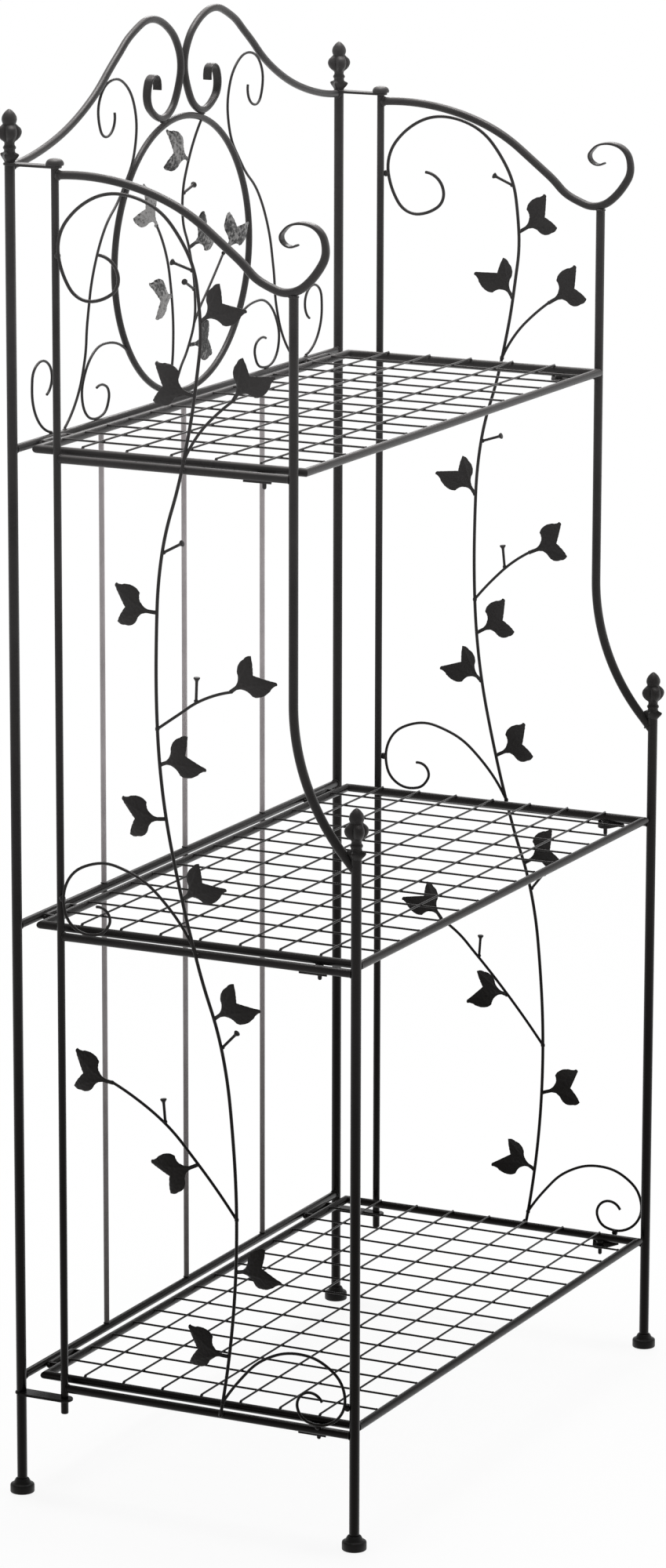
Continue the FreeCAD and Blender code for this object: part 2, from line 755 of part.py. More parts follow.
# Leaves and buds: place in the same shares, then the heading on the left and on the right panel
# in degrees, counted from the front
vine_leaf_places_shares = (
    (0.562, 0.893, 37, 33), (0.542, 0.835, 166, 131), (0.653, 0.833, 51, 33), (0.431, 0.659, 172, 135),
    (0.644, 0.601, 35, 23), (0.438, 0.536, 21, 30), (0.449, 0.492, 182, 147), (0.499, 0.427, 39, 28),
    (0.599, 0.333, 36, 31), (0.297, 0.268, 166, 138), (0.549, 0.21, 204, 174), (0.66, 0.124, 16, 15),
    (0.635, 0.052, 170, 160),
)
vine_bud_places_shares = (
    (0.533, 0.932, 163, 157), (0.451, 0.707, 28, 18), (0.546, 0.589, 88, 96), (0.617, 0.309, 46, 52),
    (0.451, 0.24, 95, 86),
)
vine_plane = half_spacing + size("rail_diameter") / 2 + size("vine_wire") / 2 + size("weld_gap")


def headed(places, side):
    column = 2 if side == "left" else 3
    return [place[:2] + (place[column],) for place in places]


def panel_vine(side):
    name = side + "_vine"
    outward = axis_x * side_sign[side]

    def on_panel(along, up):
        rise = size("arm_height") - size("bottom_rail_height")
        return outward * vine_plane + Vector(0, back_plane - size("post_depth") * along,
                                             size("bottom_rail_height") + rise * up)

    wires = []
    for kind, shares in list(vine_shares.items()) + list(vine_branch_shares[side].items()):
        points = [on_panel(along, up) for along, up in shares]
        if wires:
            points[0] = nearest_on([doc.getObject(name + "_stem_path").Shape], points[0])
        diameter = "branch_wire" if wires else "vine_wire"
        wires.append(bent_wire("%s_%s" % (name, kind), diameter, points))
    leaves, buds = grow(name, wires, -axis_y, outward, on_panel,
                        headed(vine_leaf_places_shares, side), headed(vine_bud_places_shares, side))
    pieces = wires[:1]
    for wire in wires[1:]:
        pieces.append(cut(wire.Name + "_end", wire, wires[:1]))
    keep(name, grouped(name, pieces + buds))
    keep(side + "_leaves", grouped(side + "_leaves", leaves))


for side in side_x:
    panel_vine(side)

# Shelves
shelf_front_setbacks = {
    "bottom": "post_depth - shelf_front_inset",
    "middle": "post_depth - shelf_front_inset",
    "top": "post_depth - front_tube_setback + top_shelf_overhang",
}
long_wire_counts = {"bottom": deep_long_wires, "middle": deep_long_wires, "top": shallow_long_wires}
shelf_half_width = "post_spacing / 2 - shelf_side_inset"
shelf_rear_y = "post_depth / 2 - shelf_rear_gap"
hinge_setback = "rail_diameter / 2 + barrel_diameter / 2 + weld_gap"
hinge_y = "post_depth / 2 - (%s)" % hinge_setback


def mitred(name, piece, corner, last_corner, inward):
    # trim a shelf tube at both corners, half way into the bend
    along = (last_corner - corner).normalize()
    reach = size("shelf_tube_diameter")
    outline = [
        corner - along * reach - inward * reach,
        last_corner + along * reach - inward * reach,
        last_corner - along * reach + inward * reach,
        corner + along * reach + inward * reach,
    ]
    block = Part.Face(Part.makePolygon(outline + outline[:1])).extrude(axis_z * reach * 2)
    block.translate(axis_z * -reach)
    trimmed = doc.addObject("Part::Common", name)
    trimmed.Base = piece
    trimmed.Tool = shaped(name + "_mitre", block)
    return trimmed


def shelf_frame(level, height, front_setback):
    front_y_text = "post_depth / 2 - (%s)" % front_setback
    front = number(front_y_text)
    rear = number(shelf_rear_y)
    half = number(shelf_half_width)
    z = number(height)
    wide = "2 * (%s) + 2 * shelf_tube_diameter" % shelf_half_width
    deep_length = "%s - shelf_rear_gap + 2 * shelf_tube_diameter" % front_setback
    start_x = "-(%s) - shelf_tube_diameter" % shelf_half_width
    name = level + "_shelf_front_tube"
    piece = tube(name + "_straight", "shelf_tube_diameter", wide, (start_x, front_y_text, height), axis_x)
    keep(name, mitred(name, piece, Vector(-half, front, z), Vector(half, front, z), axis_y))
    name = level + "_shelf_rear_tube"
    piece = tube(name + "_straight", "shelf_tube_diameter", wide, (start_x, shelf_rear_y, height), axis_x)
    keep(name, mitred(name, piece, Vector(-half, rear, z), Vector(half, rear, z), -axis_y))
    sides = []
    for side, sign in side_sign.items():
        name = "%s_shelf_side_tube_%s" % (level, side)
        place = ("%d * (%s)" % (sign, shelf_half_width), shelf_rear_y + " + shelf_tube_diameter", height)
        piece = tube(name + "_straight", "shelf_tube_diameter", deep_length, place, -axis_y)
        corner = Vector(sign * half, rear, z)
        sides.append(mitred(name, piece, corner, Vector(sign * half, front, z), axis_x * -sign))
    name = level + "_shelf_side_tubes"
    keep(name, grouped(name, sides))


def shelf_mesh(level, height, front_setback):
    name = level + "_shelf_wire_mesh"
    wires = []
    count = long_wire_counts[level]
    for index in range(1, count + 1):
        y = "%s - (%s - shelf_rear_gap) * %d / %d" % (shelf_rear_y, front_setback, index, count + 1)
        place = ("-(%s) - mesh_overlap" % shelf_half_width, y,
                 height + " + shelf_tube_diameter / 2 + mesh_wire / 2 + weld_gap")
        length = "2 * (%s) + 2 * mesh_overlap" % shelf_half_width
        wires.append(bar("%s_long_%d" % (name, index), "mesh_wire", length, place, axis_x))
    butt = "(sqrt(shelf_tube_diameter * mesh_wire - mesh_wire ^ 2) + weld_gap)"
    for index in range(1, cross_wires + 1):
        x = "(%s) * (%d / %d - 1)" % (shelf_half_width, 2 * index, cross_wires + 1)
        place = (x, "%s - %s" % (shelf_rear_y, butt), height + " + shelf_tube_diameter / 2 - mesh_wire / 2")
        length = "%s - shelf_rear_gap - 2 * %s" % (front_setback, butt)
        wires.append(bar("%s_cross_%d" % (name, index), "mesh_wire", length, place, -axis_y))
    keep(name, grouped(name, wires))


# Lock pins under the side tubes drop into the holes of the tabs under the side rails
tab_top_drop = "rail_diameter / 2 + weld_gap"


def lock_pin(name, x, y, height):
    reach = "shelf_rise + %s" % tab_top_drop
    collar = bar(name + "_collar", "lock_collar_diameter", reach + " - lock_seat_gap",
                 (x, y, height), -axis_z)
    straight = reach + " + tab_thickness + lock_pin_tip - lock_pin_diameter / 2"
    pin = bar(name + "_pin", "lock_pin_diameter", straight, (x, y, height), -axis_z)
    tip = doc.addObject("Part::Sphere", name + "_tip")
    bind(tip, "Radius", "lock_pin_diameter / 2")
    seat(tip, (x, y, "%s - (%s)" % (height, straight)))
    side_tube = bar(name + "_seat", "shelf_tube_diameter", "lock_collar_diameter * 2",
                    (x, y + " + lock_collar_diameter", height), -axis_y)
    return cut(name, fused(name + "_body", [collar, pin, tip]), [side_tube])


def tab_plate():
    # inner corners rounded, the hole on the line of the lock pin
    reach = size("tab_reach")
    half = size("tab_length") / 2
    corner = size("tab_corner")
    inset = corner * (1 - math.cos(math.radians(45)))
    outline = [
        Part.LineSegment(Vector(0, half, 0), Vector(0, -half, 0)).toShape(),
        Part.LineSegment(Vector(0, -half, 0), Vector(reach - corner, -half, 0)).toShape(),
        Part.Arc(Vector(reach - corner, -half, 0), Vector(reach - inset, inset - half, 0),
                 Vector(reach, corner - half, 0)).toShape(),
        Part.LineSegment(Vector(reach, corner - half, 0), Vector(reach, half - corner, 0)).toShape(),
        Part.Arc(Vector(reach, half - corner, 0), Vector(reach - inset, half - inset, 0),
                 Vector(reach - corner, half, 0)).toShape(),
        Part.LineSegment(Vector(reach - corner, half, 0), Vector(0, half, 0)).toShape(),
    ]
    plate = Part.Face(Part.Wire(outline)).extrude(axis_z * -size("tab_thickness"))
    hole = Part.makeCylinder(size("tab_hole_diameter") / 2, size("tab_thickness"),
                             axis_x * size("shelf_side_inset"), -axis_z)
    return plate.cut(hole)


tab_shape = tab_plate()
tabs = {"left": [], "right": []}


def shelf_locks(level, height, front_setback):
    y = "post_depth / 2 - (%s) + lock_setback" % front_setback
    pins = []
    for side, sign in side_sign.items():
        x = "%d * (%s)" % (sign, shelf_half_width)
        pins.append(lock_pin("%s_lock_pin_%s" % (level, side), x, y, height))
        tab = shaped("%s_tab_%s" % (level, side), tab_shape)
        tab_top = "%s - (%s)" % (rail_heights[level], tab_top_drop)
        tabs[side].append(seat(tab, (side_x[side], y, tab_top), Rotation(axis_z, 90 + 90 * sign)))
    name = level + "_shelf_lock_pins"
    keep(name, grouped(name, pins))


# Shelf hinges: barrels on the back rails, pins with a lug at both ends of the barrel
barrels = []


def shelf_hinges(level, height):
    lug_length = "shelf_rear_gap - (%s)" % hinge_setback
    half_grip = "(barrel_length / 2 + hinge_side_play)"
    pins = []
    for side, sign in side_sign.items():
        middle = "%d * barrel_offset" % sign
        name = "%s_hinge_%s" % (level, side)
        start = (middle + " - barrel_length / 2", hinge_y, height)
        outside = bar(name + "_barrel_outside", "barrel_diameter", "barrel_length", start, axis_x)
        bore = bar(name + "_bore", "hinge_pin_diameter + 2 * hinge_running_fit", "barrel_length",
                   start, axis_x)
        barrels.append(cut(name + "_barrel", outside, [bore]))
        pin_half = half_grip + " + lug_thickness + hinge_head_length"
        place = ("%s - (%s)" % (middle, pin_half), hinge_y, height)
        pieces = [bar(name + "_pin", "hinge_pin_diameter", "2 * (%s)" % pin_half, place, axis_x)]
        for end, lug_start in (("inner", "- %s - lug_thickness" % half_grip), ("outer", "+ " + half_grip)):
            x = "%s %s" % (middle, lug_start)
            eye = bar("%s_%s_eye" % (name, end), "lug_eye_diameter", "lug_thickness",
                      (x, hinge_y, height), axis_x)
            plate = doc.addObject("Part::Box", "%s_%s_lug" % (name, end))
            bind(plate, "Length", "lug_thickness")
            bind(plate, "Width", lug_length)
            bind(plate, "Height", "lug_eye_diameter")
            seat(plate, (x, shelf_rear_y, height + " - lug_eye_diameter / 2"))
            pieces += [eye, plate]
        rear_tube = bar(name + "_rear_tube", "shelf_tube_diameter", "2 * (%s)" % pin_half,
                        ("%s - (%s)" % (middle, pin_half), shelf_rear_y, height), axis_x)
        pins.append(cut(name, fused(name + "_body", pieces), [rear_tube]))
    keep(level + "_shelf_hinge_pins", grouped(level + "_shelf_hinge_pins", pins))


for level, rail_height in rail_heights.items():
    shelf_height = rail_height + " + shelf_rise"
    shelf_frame(level, shelf_height, shelf_front_setbacks[level])
    shelf_mesh(level, shelf_height, shelf_front_setbacks[level])
    shelf_locks(level, shelf_height, shelf_front_setbacks[level])
    shelf_hinges(level, shelf_height)
for side in side_x:
    keep(side_piece("shelf_tabs", side), grouped(side_piece("shelf_tabs", side), tabs[side]))
keep("shelf_hinge_barrels", grouped("shelf_hinge_barrels", barrels))

# Check every object, then write one file for each node
doc.recompute()
for piece in doc.Objects:
    if "Invalid" in piece.State or "Error" in piece.State:
        raise RuntimeError("%s did not compute" % piece.Label)
os.makedirs("parts", exist_ok=True)
for piece in nodes:
    if piece.Shape.isNull() or not piece.Shape.isValid() or not piece.Shape.Solids:
        raise RuntimeError("%s has no valid shape" % piece.Label)
    piece.Shape.exportStep("parts/%s.step" % piece.Label)
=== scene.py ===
from math import ceil, copysign, cos, exp, pi, radians, sin, sqrt
import random
import bpy
from mathutils import Matrix, Vector, noise
from mathutils.geometry import delaunay_2d_cdt


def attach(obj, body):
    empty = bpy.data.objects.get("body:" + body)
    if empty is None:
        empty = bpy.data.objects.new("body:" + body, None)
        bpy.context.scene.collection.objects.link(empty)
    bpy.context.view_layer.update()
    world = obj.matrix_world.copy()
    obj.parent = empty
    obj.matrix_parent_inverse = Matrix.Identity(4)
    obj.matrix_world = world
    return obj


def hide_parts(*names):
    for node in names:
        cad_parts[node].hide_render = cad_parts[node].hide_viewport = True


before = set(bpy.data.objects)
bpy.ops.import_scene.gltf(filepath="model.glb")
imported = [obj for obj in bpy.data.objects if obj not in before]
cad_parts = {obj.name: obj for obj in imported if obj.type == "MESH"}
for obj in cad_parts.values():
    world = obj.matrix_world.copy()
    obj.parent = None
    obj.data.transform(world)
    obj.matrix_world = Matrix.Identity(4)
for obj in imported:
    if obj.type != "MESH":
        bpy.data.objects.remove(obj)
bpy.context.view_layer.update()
print("frame loaded:", len(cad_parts), "nodes")


# dictionary whose values also read as attributes
class Look(dict):
    __getattr__ = dict.__getitem__


# main sizes of the rack in mm, the same as in the CAD. A welded end runs by sink into its neighbour
rack = Look({
    "halfWidth": 420, "halfDepth": 220.5, "postRadius": 6, "railRadius": 5, "sink": 1, "postFoot": 4, "backTop": 1590,
    "frontTop": 824, "railHeights": {"bottom": 138, "middle": 690, "top": 1253}, "shelfRise": 6,
    "uprightSetback": 58.5, "uprightRadius": 4.5, "uprightFoot": 108, "uprightTop": 1586, "armHeight": 1578,
    "tubeSides": 28, "rodSides": 20, "wireSides": 14, "postNose": 0.05, "weldedNose": 0.02, "wireNose": 0.3,
})
halfWidth, halfDepth, railHeights = rack.halfWidth, rack.halfDepth, rack.railHeights
tubeSides, wireSides, wireNose = rack.tubeSides, rack.wireSides, rack.wireNose
sideSigns = ("Left", -1), ("Right", 1)
across, back, up = Vector((1, 0, 0)), Vector((0, 1, 0)), Vector((0, 0, 1))
uprightY = halfDepth - rack.uprightSetback
panelDepth = 2 * halfDepth
panelRise = rack.armHeight - railHeights["bottom"]
scene = bpy.context.scene
millimetre = 0.001
nearlyAlong, nearlyStraight, smallAngle, tiny = 0.9, 1e-6, 1e-4, 1e-9


# shader maths: a socket that adds nodes when it is calculated with
class Signal:
    def __init__(self, tree, socket):
        self.tree, self.socket = tree, socket

    def node(self, kind, settings, inputs, output=0):
        made = self.tree.nodes.new(kind)
        for key, value in settings.items():
            if key == "stops":
                for element, (place, colour) in zip(made.color_ramp.elements, value):
                    element.position, element.color = place, colour
            else:
                setattr(made, key, value)
        for key, value in inputs.items():
            if isinstance(value, Signal):
                self.tree.links.new(value.socket, made.inputs[key])
            else:
                made.inputs[key].default_value = value
        return Signal(self.tree, made.outputs[output])

    def math(self, operation, first, second):
        return self.node("ShaderNodeMath", {"operation": operation}, {0: first, 1: second})

    def mix(self, factor, first, second):
        inputs = {"Factor": factor, "A": first, "B": second}
        return self.node("ShaderNodeMix", {"data_type": "RGBA"}, inputs, "Result")

    def between(self, low, high, **ends):
        return self.node("ShaderNodeMapRange", {}, {"Value": self, "From Min": low, "From Max": high, **ends})

    def height(self):
        return self.node("ShaderNodeSeparateXYZ", {}, {0: self}, "Z")

    def __add__(self, other): return self.math("ADD", self, other)
    def __radd__(self, other): return self.math("ADD", other, self)
    def __sub__(self, other): return self.math("SUBTRACT", self, other)
    def __rsub__(self, other): return self.math("SUBTRACT", other, self)
    def __mul__(self, other): return self.math("MULTIPLY", self, other)
    def __rmul__(self, other): return self.math("MULTIPLY", other, self)


def newMaterial(name):
    material = bpy.data.materials.new(name)
    material.use_nodes = True
    tree = material.node_tree
    return material, Signal(tree, tree.nodes["Principled BSDF"].outputs[0])


# noises are scale, detail and roughness. Heights for the painted light fade are in metres
coatLook = Look({
    "dark": (0.0016, 0.0013, 0.0012, 1), "light": (0.0055, 0.0048, 0.0044, 1), "cloudShare": 0.55, "contrast": 1,
    # painted light: the coat is lighter higher up, standing in for brighter light on the upper pieces
    "pale": (0.062, 0.0594, 0.0594, 1), "paleFrom": 0.4, "paleTo": 1.5, "paleLeast": 0.4,
    # top sides: real dust and scuffs, plus a painted highlight that grows with height
    "dust": (0.36, 0.34, 0.335, 1), "dustFrom": 0.55, "dustMottle": 0.02, "dustRisen": 0.5, "dustScuff": 0.012,
    "rough": 0.29, "roughSpread": 0.12, "roughMottle": 0.12, "roughScuff": 0.08, "peel": 0.1, "grain": 0.05,
    "bumpMottle": 0.1, "strength": 0.06, "bumpDepth": 0.0006, "specular": 0.5, "tint": (0.16, 0.15, 0.145, 1),
    "clouds": (9, 5, 0.6), "mottle": (140, 4, 0.5), "peelNoise": (900, 2, 0.5), "scuffs": (60, 8, 0.75),
    "scuffFrom": 0.66, "scuffTo": 0.74, "grainScale": 2600,
})


# satin powder coat: mottled charcoal, orange peel, fine grain and scuffs, dusty top sides. Painted light: the coat
# turns lighter high up, and high pieces get a painted highlight on their top sides
def coatMaterial(name, **changes):
    look = Look({**coatLook, **changes})
    material, m = newMaterial(name)
    place = m.node("ShaderNodeTexCoord", {}, {}, "Object")
    clouds, mottle, peel, scuffs = [
        m.node("ShaderNodeTexNoise", {}, dict(zip(("Vector", "Scale", "Detail", "Roughness"), (place, *look[key]))))
        for key in ("clouds", "mottle", "peelNoise", "scuffs")]
    grain = m.node("ShaderNodeTexVoronoi", {"feature": "SMOOTH_F1"}, {"Vector": place, "Scale": look.grainScale})
    stops = (look.scuffFrom, (0, 0, 0, 1)), (look.scuffTo, (1, 1, 1, 1))
    scuffMask = m.node("ShaderNodeValToRGB", {"stops": stops}, {"Fac": scuffs})
    upward = m.node("ShaderNodeNewGeometry", {}, {}, "Normal").height().between(look.dustFrom, 1)
    # painted light: height share, from 0 low down to 1 high up, that makes the upper pieces lighter
    paintedLightRise = place.height().between(look.paleFrom, look.paleTo)
    patches = clouds * look.cloudShare + mottle * (1 - look.cloudShare) - 0.5
    tone = m.mix(patches * look.contrast + 0.5, look.dark, look.light)
    # painted light: the coat is mixed towards a lighter tone higher up
    paintedLighter = m.mix(paintedLightRise * (clouds + look.paleLeast), tone, look.pale)
    # dusty top sides, mottled, plus a painted highlight on the top sides of high pieces; scuffs, which are wear,
    # lighten too
    dustAndHighlightShare = upward * (mottle * look.dustMottle + paintedLightRise * paintedLightRise * look.dustRisen)
    dustedAndHighlit = m.mix(dustAndHighlightShare + scuffMask * look.dustScuff, paintedLighter, look.dust)
    rough = look.rough + (clouds - 0.5) * look.roughSpread
    rough = rough + (mottle - 0.5) * look.roughMottle + scuffMask * look.roughScuff
    relief = peel * look.peel + grain * look.grain + mottle * look.bumpMottle
    bump = m.node("ShaderNodeBump", {}, {"Height": relief, "Strength": look.strength, "Distance": look.bumpDepth})
    shader = m.tree.nodes["Principled BSDF"]
    for key, value in (("Base Color", dustedAndHighlit), ("Roughness", rough), ("Normal", bump)):
        m.tree.links.new(value.socket, shader.inputs[key])
    shader.inputs["Specular IOR Level"].default_value = look.specular
    shader.inputs["Specular Tint"].default_value = look.tint
    return material


coat = coatMaterial("powderCoat")
leafCoat = coatMaterial(
    "leafCoat", dark=(0.004, 0.0037, 0.0035, 1), light=(0.012, 0.011, 0.0105, 1), rough=0.34, peel=0.25,
    strength=0.45, mottle=(320, 4, 0.5))
# painted light: a much lighter copy of the coat, its strong light and dark mottles standing in for glints and shade on
# the hammered leaves
ovalLeafCoatPaintedLight = coatMaterial(
    "ovalLeafCoatPaintedLight", dark=(0.006, 0.006, 0.006, 1), light=(0.34, 0.333, 0.328, 1), rough=0.3, peel=0.3,
    strength=0.7, tint=(0.7, 0.7, 0.7, 1), mottle=(230, 4, 0.5), contrast=11, paleTo=9)
# painted light: the back rods get a much lighter coat that turns lighter still higher up, standing in for light
# falling on them
rodCoatPaintedLight = coatMaterial(
    "rodCoatPaintedLight", dark=(0.06, 0.054, 0.053, 1), light=(0.13, 0.12, 0.117, 1), pale=(0.48, 0.445, 0.45, 1),
    paleFrom=0.2, paleTo=0.9)
castCoat = coatMaterial("castCoat", rough=0.38, peel=0.2, grain=0.12, strength=0.5)
weldCoat = coatMaterial("weldCoat", rough=0.33, peel=0.3, strength=0.6)
footCoat = coatMaterial(
    "footPlastic", dark=(0.006, 0.0058, 0.0056, 1), light=(0.012, 0.0118, 0.0115, 1), rough=0.45, peel=0.06,
    grain=0.16)
print("materials made")

# weld metal: half sizes, sides and levels of the spots, ring radius and thickness of the beads
weldLook = Look({
    "spots": {
        "crestHook": (6.5, 3.6, 1.7, 10, 6), "crestMiddle": (1.8, 3.4, 6, 10, 6), "ovalFoot": (7, 3.2, 1.6, 10, 6),
        "scrollFoot": (4.5, 2.2, 1.2, 10, 6), "leaf": (2.6, 2.6, 2.6, 8, 5), "bud": (2.7, 2.7, 2.7, 8, 5),
        "ovalWire": (3.4, 2.6, 2.6, 10, 6), "branch": (2.5, 3, 3.4, 8, 5), "stem": (1.5, 4.2, 2.4, 10, 6),
        "bridge": (3.4, 3.8, 4.2, 10, 6), "longWire": (2.6, 2, 1, 8, 5), "crossWire": (2.1, 1.8, 1.6, 8, 5),
        "crossing": (1.5, 1.5, 0.7, 8, 4), "tab": (1.8, 15, 1.5, 16, 8), "lug": (2.6, 1.6, 3.8, 10, 6),
        "barrel": (7.5, 1.7, 2.3, 14, 6)},
    "beads": {
        "rail": (5, 1.1), "rod": (3.2, 0.9), "sideRail": (4.7, 1), "tubeTop": (5.1, 1.2), "tubeFoot": (5.6, 1.3),
        "arm": (4.6, 1.8), "bracket": (5.9, 1.8), "crest": (4.2, 1.9), "lockPin": (4.4, 1)},
    "spotLumps": 0.16, "spotNoise": 1.7, "spotSeed": (3.1, 1.7, 1), "beadLumps": 0.28, "beadNoise": 2.4,
    "beadSeed": (2.3, 1, 0.7), "beadSteps": 26, "beadSides": 8,
})


def xy(x, y):
    return Vector((x, y))


def xyz(x, y, z):
    return Vector((x, y, z))


# tables of points hold thousandths in their first two columns
def shares(rows):
    return [(a / 1000, b / 1000, *rest) for a, b, *rest in rows]


def circle(count):
    return [(cos(2 * pi * k / count), sin(2 * pi * k / count)) for k in range(count)]


# two directions square to an axis
def squareTo(axis, other):
    side = across if abs(axis.dot(across)) < nearlyAlong else other
    first = (side - axis * axis.dot(side)).normalized()
    return first, axis.cross(first)


# points and faces of one piece, in mm, until it is made
class Stock:
    noseAngles = [radians(degrees) for degrees in (30, 60, 85)]

    def __init__(self):
        self.points, self.faces = [], []

    def rows(self, rows, loop=False):
        marks = []
        for row in rows:
            marks.append(range(len(self.points), len(self.points) + len(row)))
            self.points += row
        pairs = list(zip(marks, marks[1:])) + ([(marks[-1], marks[0])] if loop else [])
        for low, high in pairs:
            count = max(len(low), len(high))
            for k in range(count):
                n = (k + 1) % count
                if len(low) == 1:
                    self.faces.append((low[0], high[n], high[k]))
                elif len(high) == 1:
                    self.faces.append((low[k], low[n], high[0]))
                else:
                    self.faces.append((low[k], low[n], high[n], high[k]))
        for cap in () if loop else (marks[0][::-1], marks[-1]):
            if len(cap) > 1:
                self.faces.append(tuple(cap))

    def make(self, name, nodes, material=coat, body="frame", sharp=38, slot="powder_coat"):
        mesh = bpy.data.meshes.new(name)
        mesh.from_pydata([p * millimetre for p in self.points], [], self.faces)
        mesh.validate()
        mesh.shade_smooth()
        mesh.set_sharp_from_angle(angle=radians(sharp))
        mesh.materials.append(material)
        piece = bpy.data.objects.new(name, mesh)
        scene.collection.objects.link(piece)
        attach(piece, body)
        if nodes:
            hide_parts(*nodes)

    # round bar or wire along a path that lies in a plane
    def bar(self, path, plane, radius, sides, loop=False, form=None, nose=0):
        rows, count, run = [], len(path), [0]
        for a, b in zip(path, path[1:]):
            run.append(run[-1] + (b - a).length)
        for i, point in enumerate(path):
            before = path[i - 1] if i or loop else point
            after = path[(i + 1) % count] if i + 1 < count or loop else point
            along = (after - before).normalized()
            out = (plane - along * plane.dot(along)).normalized()
            inward = out.cross(along)
            wide, deep, power = form(run[i] / run[-1]) if form else (radius, radius, 1)
            row = []
            for pair in circle(sides):
                c, s = [copysign(abs(v) ** power, v) for v in pair]
                row.append(point + inward * wide * c + out * deep * s)
            rows.append(row)
        if not loop:
            rows = self.rounded(rows, path, nose, True) + rows + self.rounded(rows, path, nose, False)
        self.rows(rows, loop)

    # shrinking rings that break the edge of a bar's end
    def rounded(self, rows, path, nose, start):
        row, end, inner = (rows[0], path[0], path[1]) if start else (rows[-1], path[-1], path[-2])
        outward = (end - inner).normalized()
        reach = (row[0] - end).length * nose
        rings = []
        for a in self.noseAngles:
            share, shift = 1 - nose + nose * cos(a), outward * reach * sin(a)
            rings.append([end + (p - end) * share + shift for p in row])
        return rings[::-1] if start else rings

    def rod(self, start, end, radius, sides, nose):
        plane = up if abs((end - start).normalized().dot(up)) < nearlyAlong else across
        self.bar([start, end], plane, radius, sides, nose=nose)

    # turned piece: radius and height pairs round an axis
    def turned(self, profile, base, axis, sides):
        first, second = squareTo(axis, back)
        rows = []
        for radius, height in profile:
            centre = base + axis * height
            if radius == 0:
                rows.append([centre])
            else:
                rows.append([centre + (first * c + second * s) * radius for c, s in circle(sides)])
        self.rows(rows)

    # flat plate with a hole, its edges broken
    def holedPlate(self, outline, hole, holeRadius, low, high, edge):
        middle = sum(outline, xy(0, 0)) / len(outline)
        inner = [hole + (p - hole).normalized() * holeRadius for p in outline]
        shrunk = [p + (middle - p).normalized() * edge for p in outline]
        layers = ((inner, low), (shrunk, low), (outline, low + edge),
                  (outline, high - edge), (shrunk, high), (inner, high))
        self.rows([[xyz(p.x, p.y, z) for p in row] for row, z in layers], loop=True)

    # lumpy spot of weld metal
    def blob(self, at, kind, seed):
        wide, deep, tall, sides, levels = weldLook.spots[kind]
        drift = Vector([seed * factor for factor in weldLook.spotSeed])
        rows = [[at - up * tall]]
        for level in range(1, levels):
            b = pi * (level / levels - 0.5)
            row = []
            for c, s in circle(sides):
                d = xyz(c * cos(b), s * cos(b), sin(b))
                lump = 1 + weldLook.spotLumps * noise.noise(d * weldLook.spotNoise + drift)
                row.append(at + xyz(d.x * wide, d.y * deep, d.z * tall) * lump)
            rows.append(row)
        rows.append([at + up * tall])
        self.rows(rows)

    # lumpy bead of weld round a bar's end
    def bead(self, at, axis, kind, seed):
        ringRadius, thickness = weldLook.beads[kind]
        drift = Vector([seed * factor for factor in weldLook.beadSeed])
        first, second = squareTo(axis, up)
        rows, ring = [], circle(weldLook.beadSides)[::-1]
        for c, s in circle(weldLook.beadSteps):
            radial = first * c + second * s
            swell = thickness * (1 + weldLook.beadLumps * noise.noise(radial * weldLook.beadNoise + drift))
            rows.append([at + radial * (ringRadius + swell * a) + axis * swell * b for a, b in ring])
        self.rows(rows, loop=True)


# heading at a point of the circle through three points
def circleHeading(a, b, c, at):
    ab, ac = b - a, c - a
    normal = ab.cross(ac)
    if normal.length < nearlyStraight * ac.length_squared:
        return ac.normalized()
    offset = normal.cross(ab) * ac.length_squared + ac.cross(normal) * ab.length_squared
    centre = a + offset / (2 * normal.length_squared)
    return normal.cross(at - centre).normalized()


def arcPoints(start, heading, end, stepLength, stepDegrees):
    chord = end - start
    turn = 2 * heading.angle(chord)
    normal = heading.cross(chord)
    if turn < smallAngle or normal.length < tiny:
        return [start, end]
    normal.normalize()
    radius = chord.length / (2 * sin(turn / 2))
    centre = start + normal.cross(heading) * radius
    count = max(2, ceil(turn / radians(stepDegrees)), ceil(turn * radius / stepLength))
    return [centre + Matrix.Rotation(turn * k / count, 3, normal) @ (start - centre) for k in range(count + 1)]


# smooth chain of arcs through given points, two arcs from one to the next
def smoothPath(points, stepLength, stepDegrees=9, loop=False):
    count = len(points)
    ends = []
    for i, point in enumerate(points):
        mid = i if loop else min(max(i, 1), count - 2)
        ends.append((point, circleHeading(points[mid - 1], points[mid], points[(mid + 1) % count], point)))
    if loop:
        ends.append(ends[0])
    path = [points[0]]
    for (start, first), (end, last) in zip(ends, ends[1:]):
        chord = end - start
        along, bend, square = chord.dot(first + last), 2 * (1 - first.dot(last)), chord.dot(chord)
        reach = square / (2 * along) if bend < tiny else (sqrt(along ** 2 + bend * square) - along) / bend
        middle = (start + end + (first - last) * reach) / 2
        path += arcPoints(start, first, middle, stepLength, stepDegrees)[1:]
        path += arcPoints(end, -last, middle, stepLength, stepDegrees)[::-1][1:]
    return path[:-1] if loop else path


def nearestOn(paths, point):
    best = None
    for path in paths:
        for a, b in zip(path, path[1:]):
            t = max(0, min(1, (point - a).dot(b - a) / (b - a).length_squared))
            spot = a.lerp(b, t)
            if best is None or (spot - point).length < (best - point).length:
                best = spot
    return best


def straightTube(name, node, start, end, radius, nose=rack.weldedNose):
    tube = Stock()
    tube.rod(start, end, radius, tubeSides, nose)
    tube.make(name, [node])


seams = Stock()  # weld metal on the frame

# posts
postRows = ("back", halfDepth, rack.backTop), ("front", -halfDepth, rack.frontTop)
for side, sign in sideSigns:
    for row, y, top in postRows:
        x = sign * halfWidth
        straightTube(row + "Post" + side, "%s_post_%s" % (row, side.lower()), xyz(x, y, rack.postFoot), xyz(x, y, top),
                     rack.postRadius, rack.postNose)

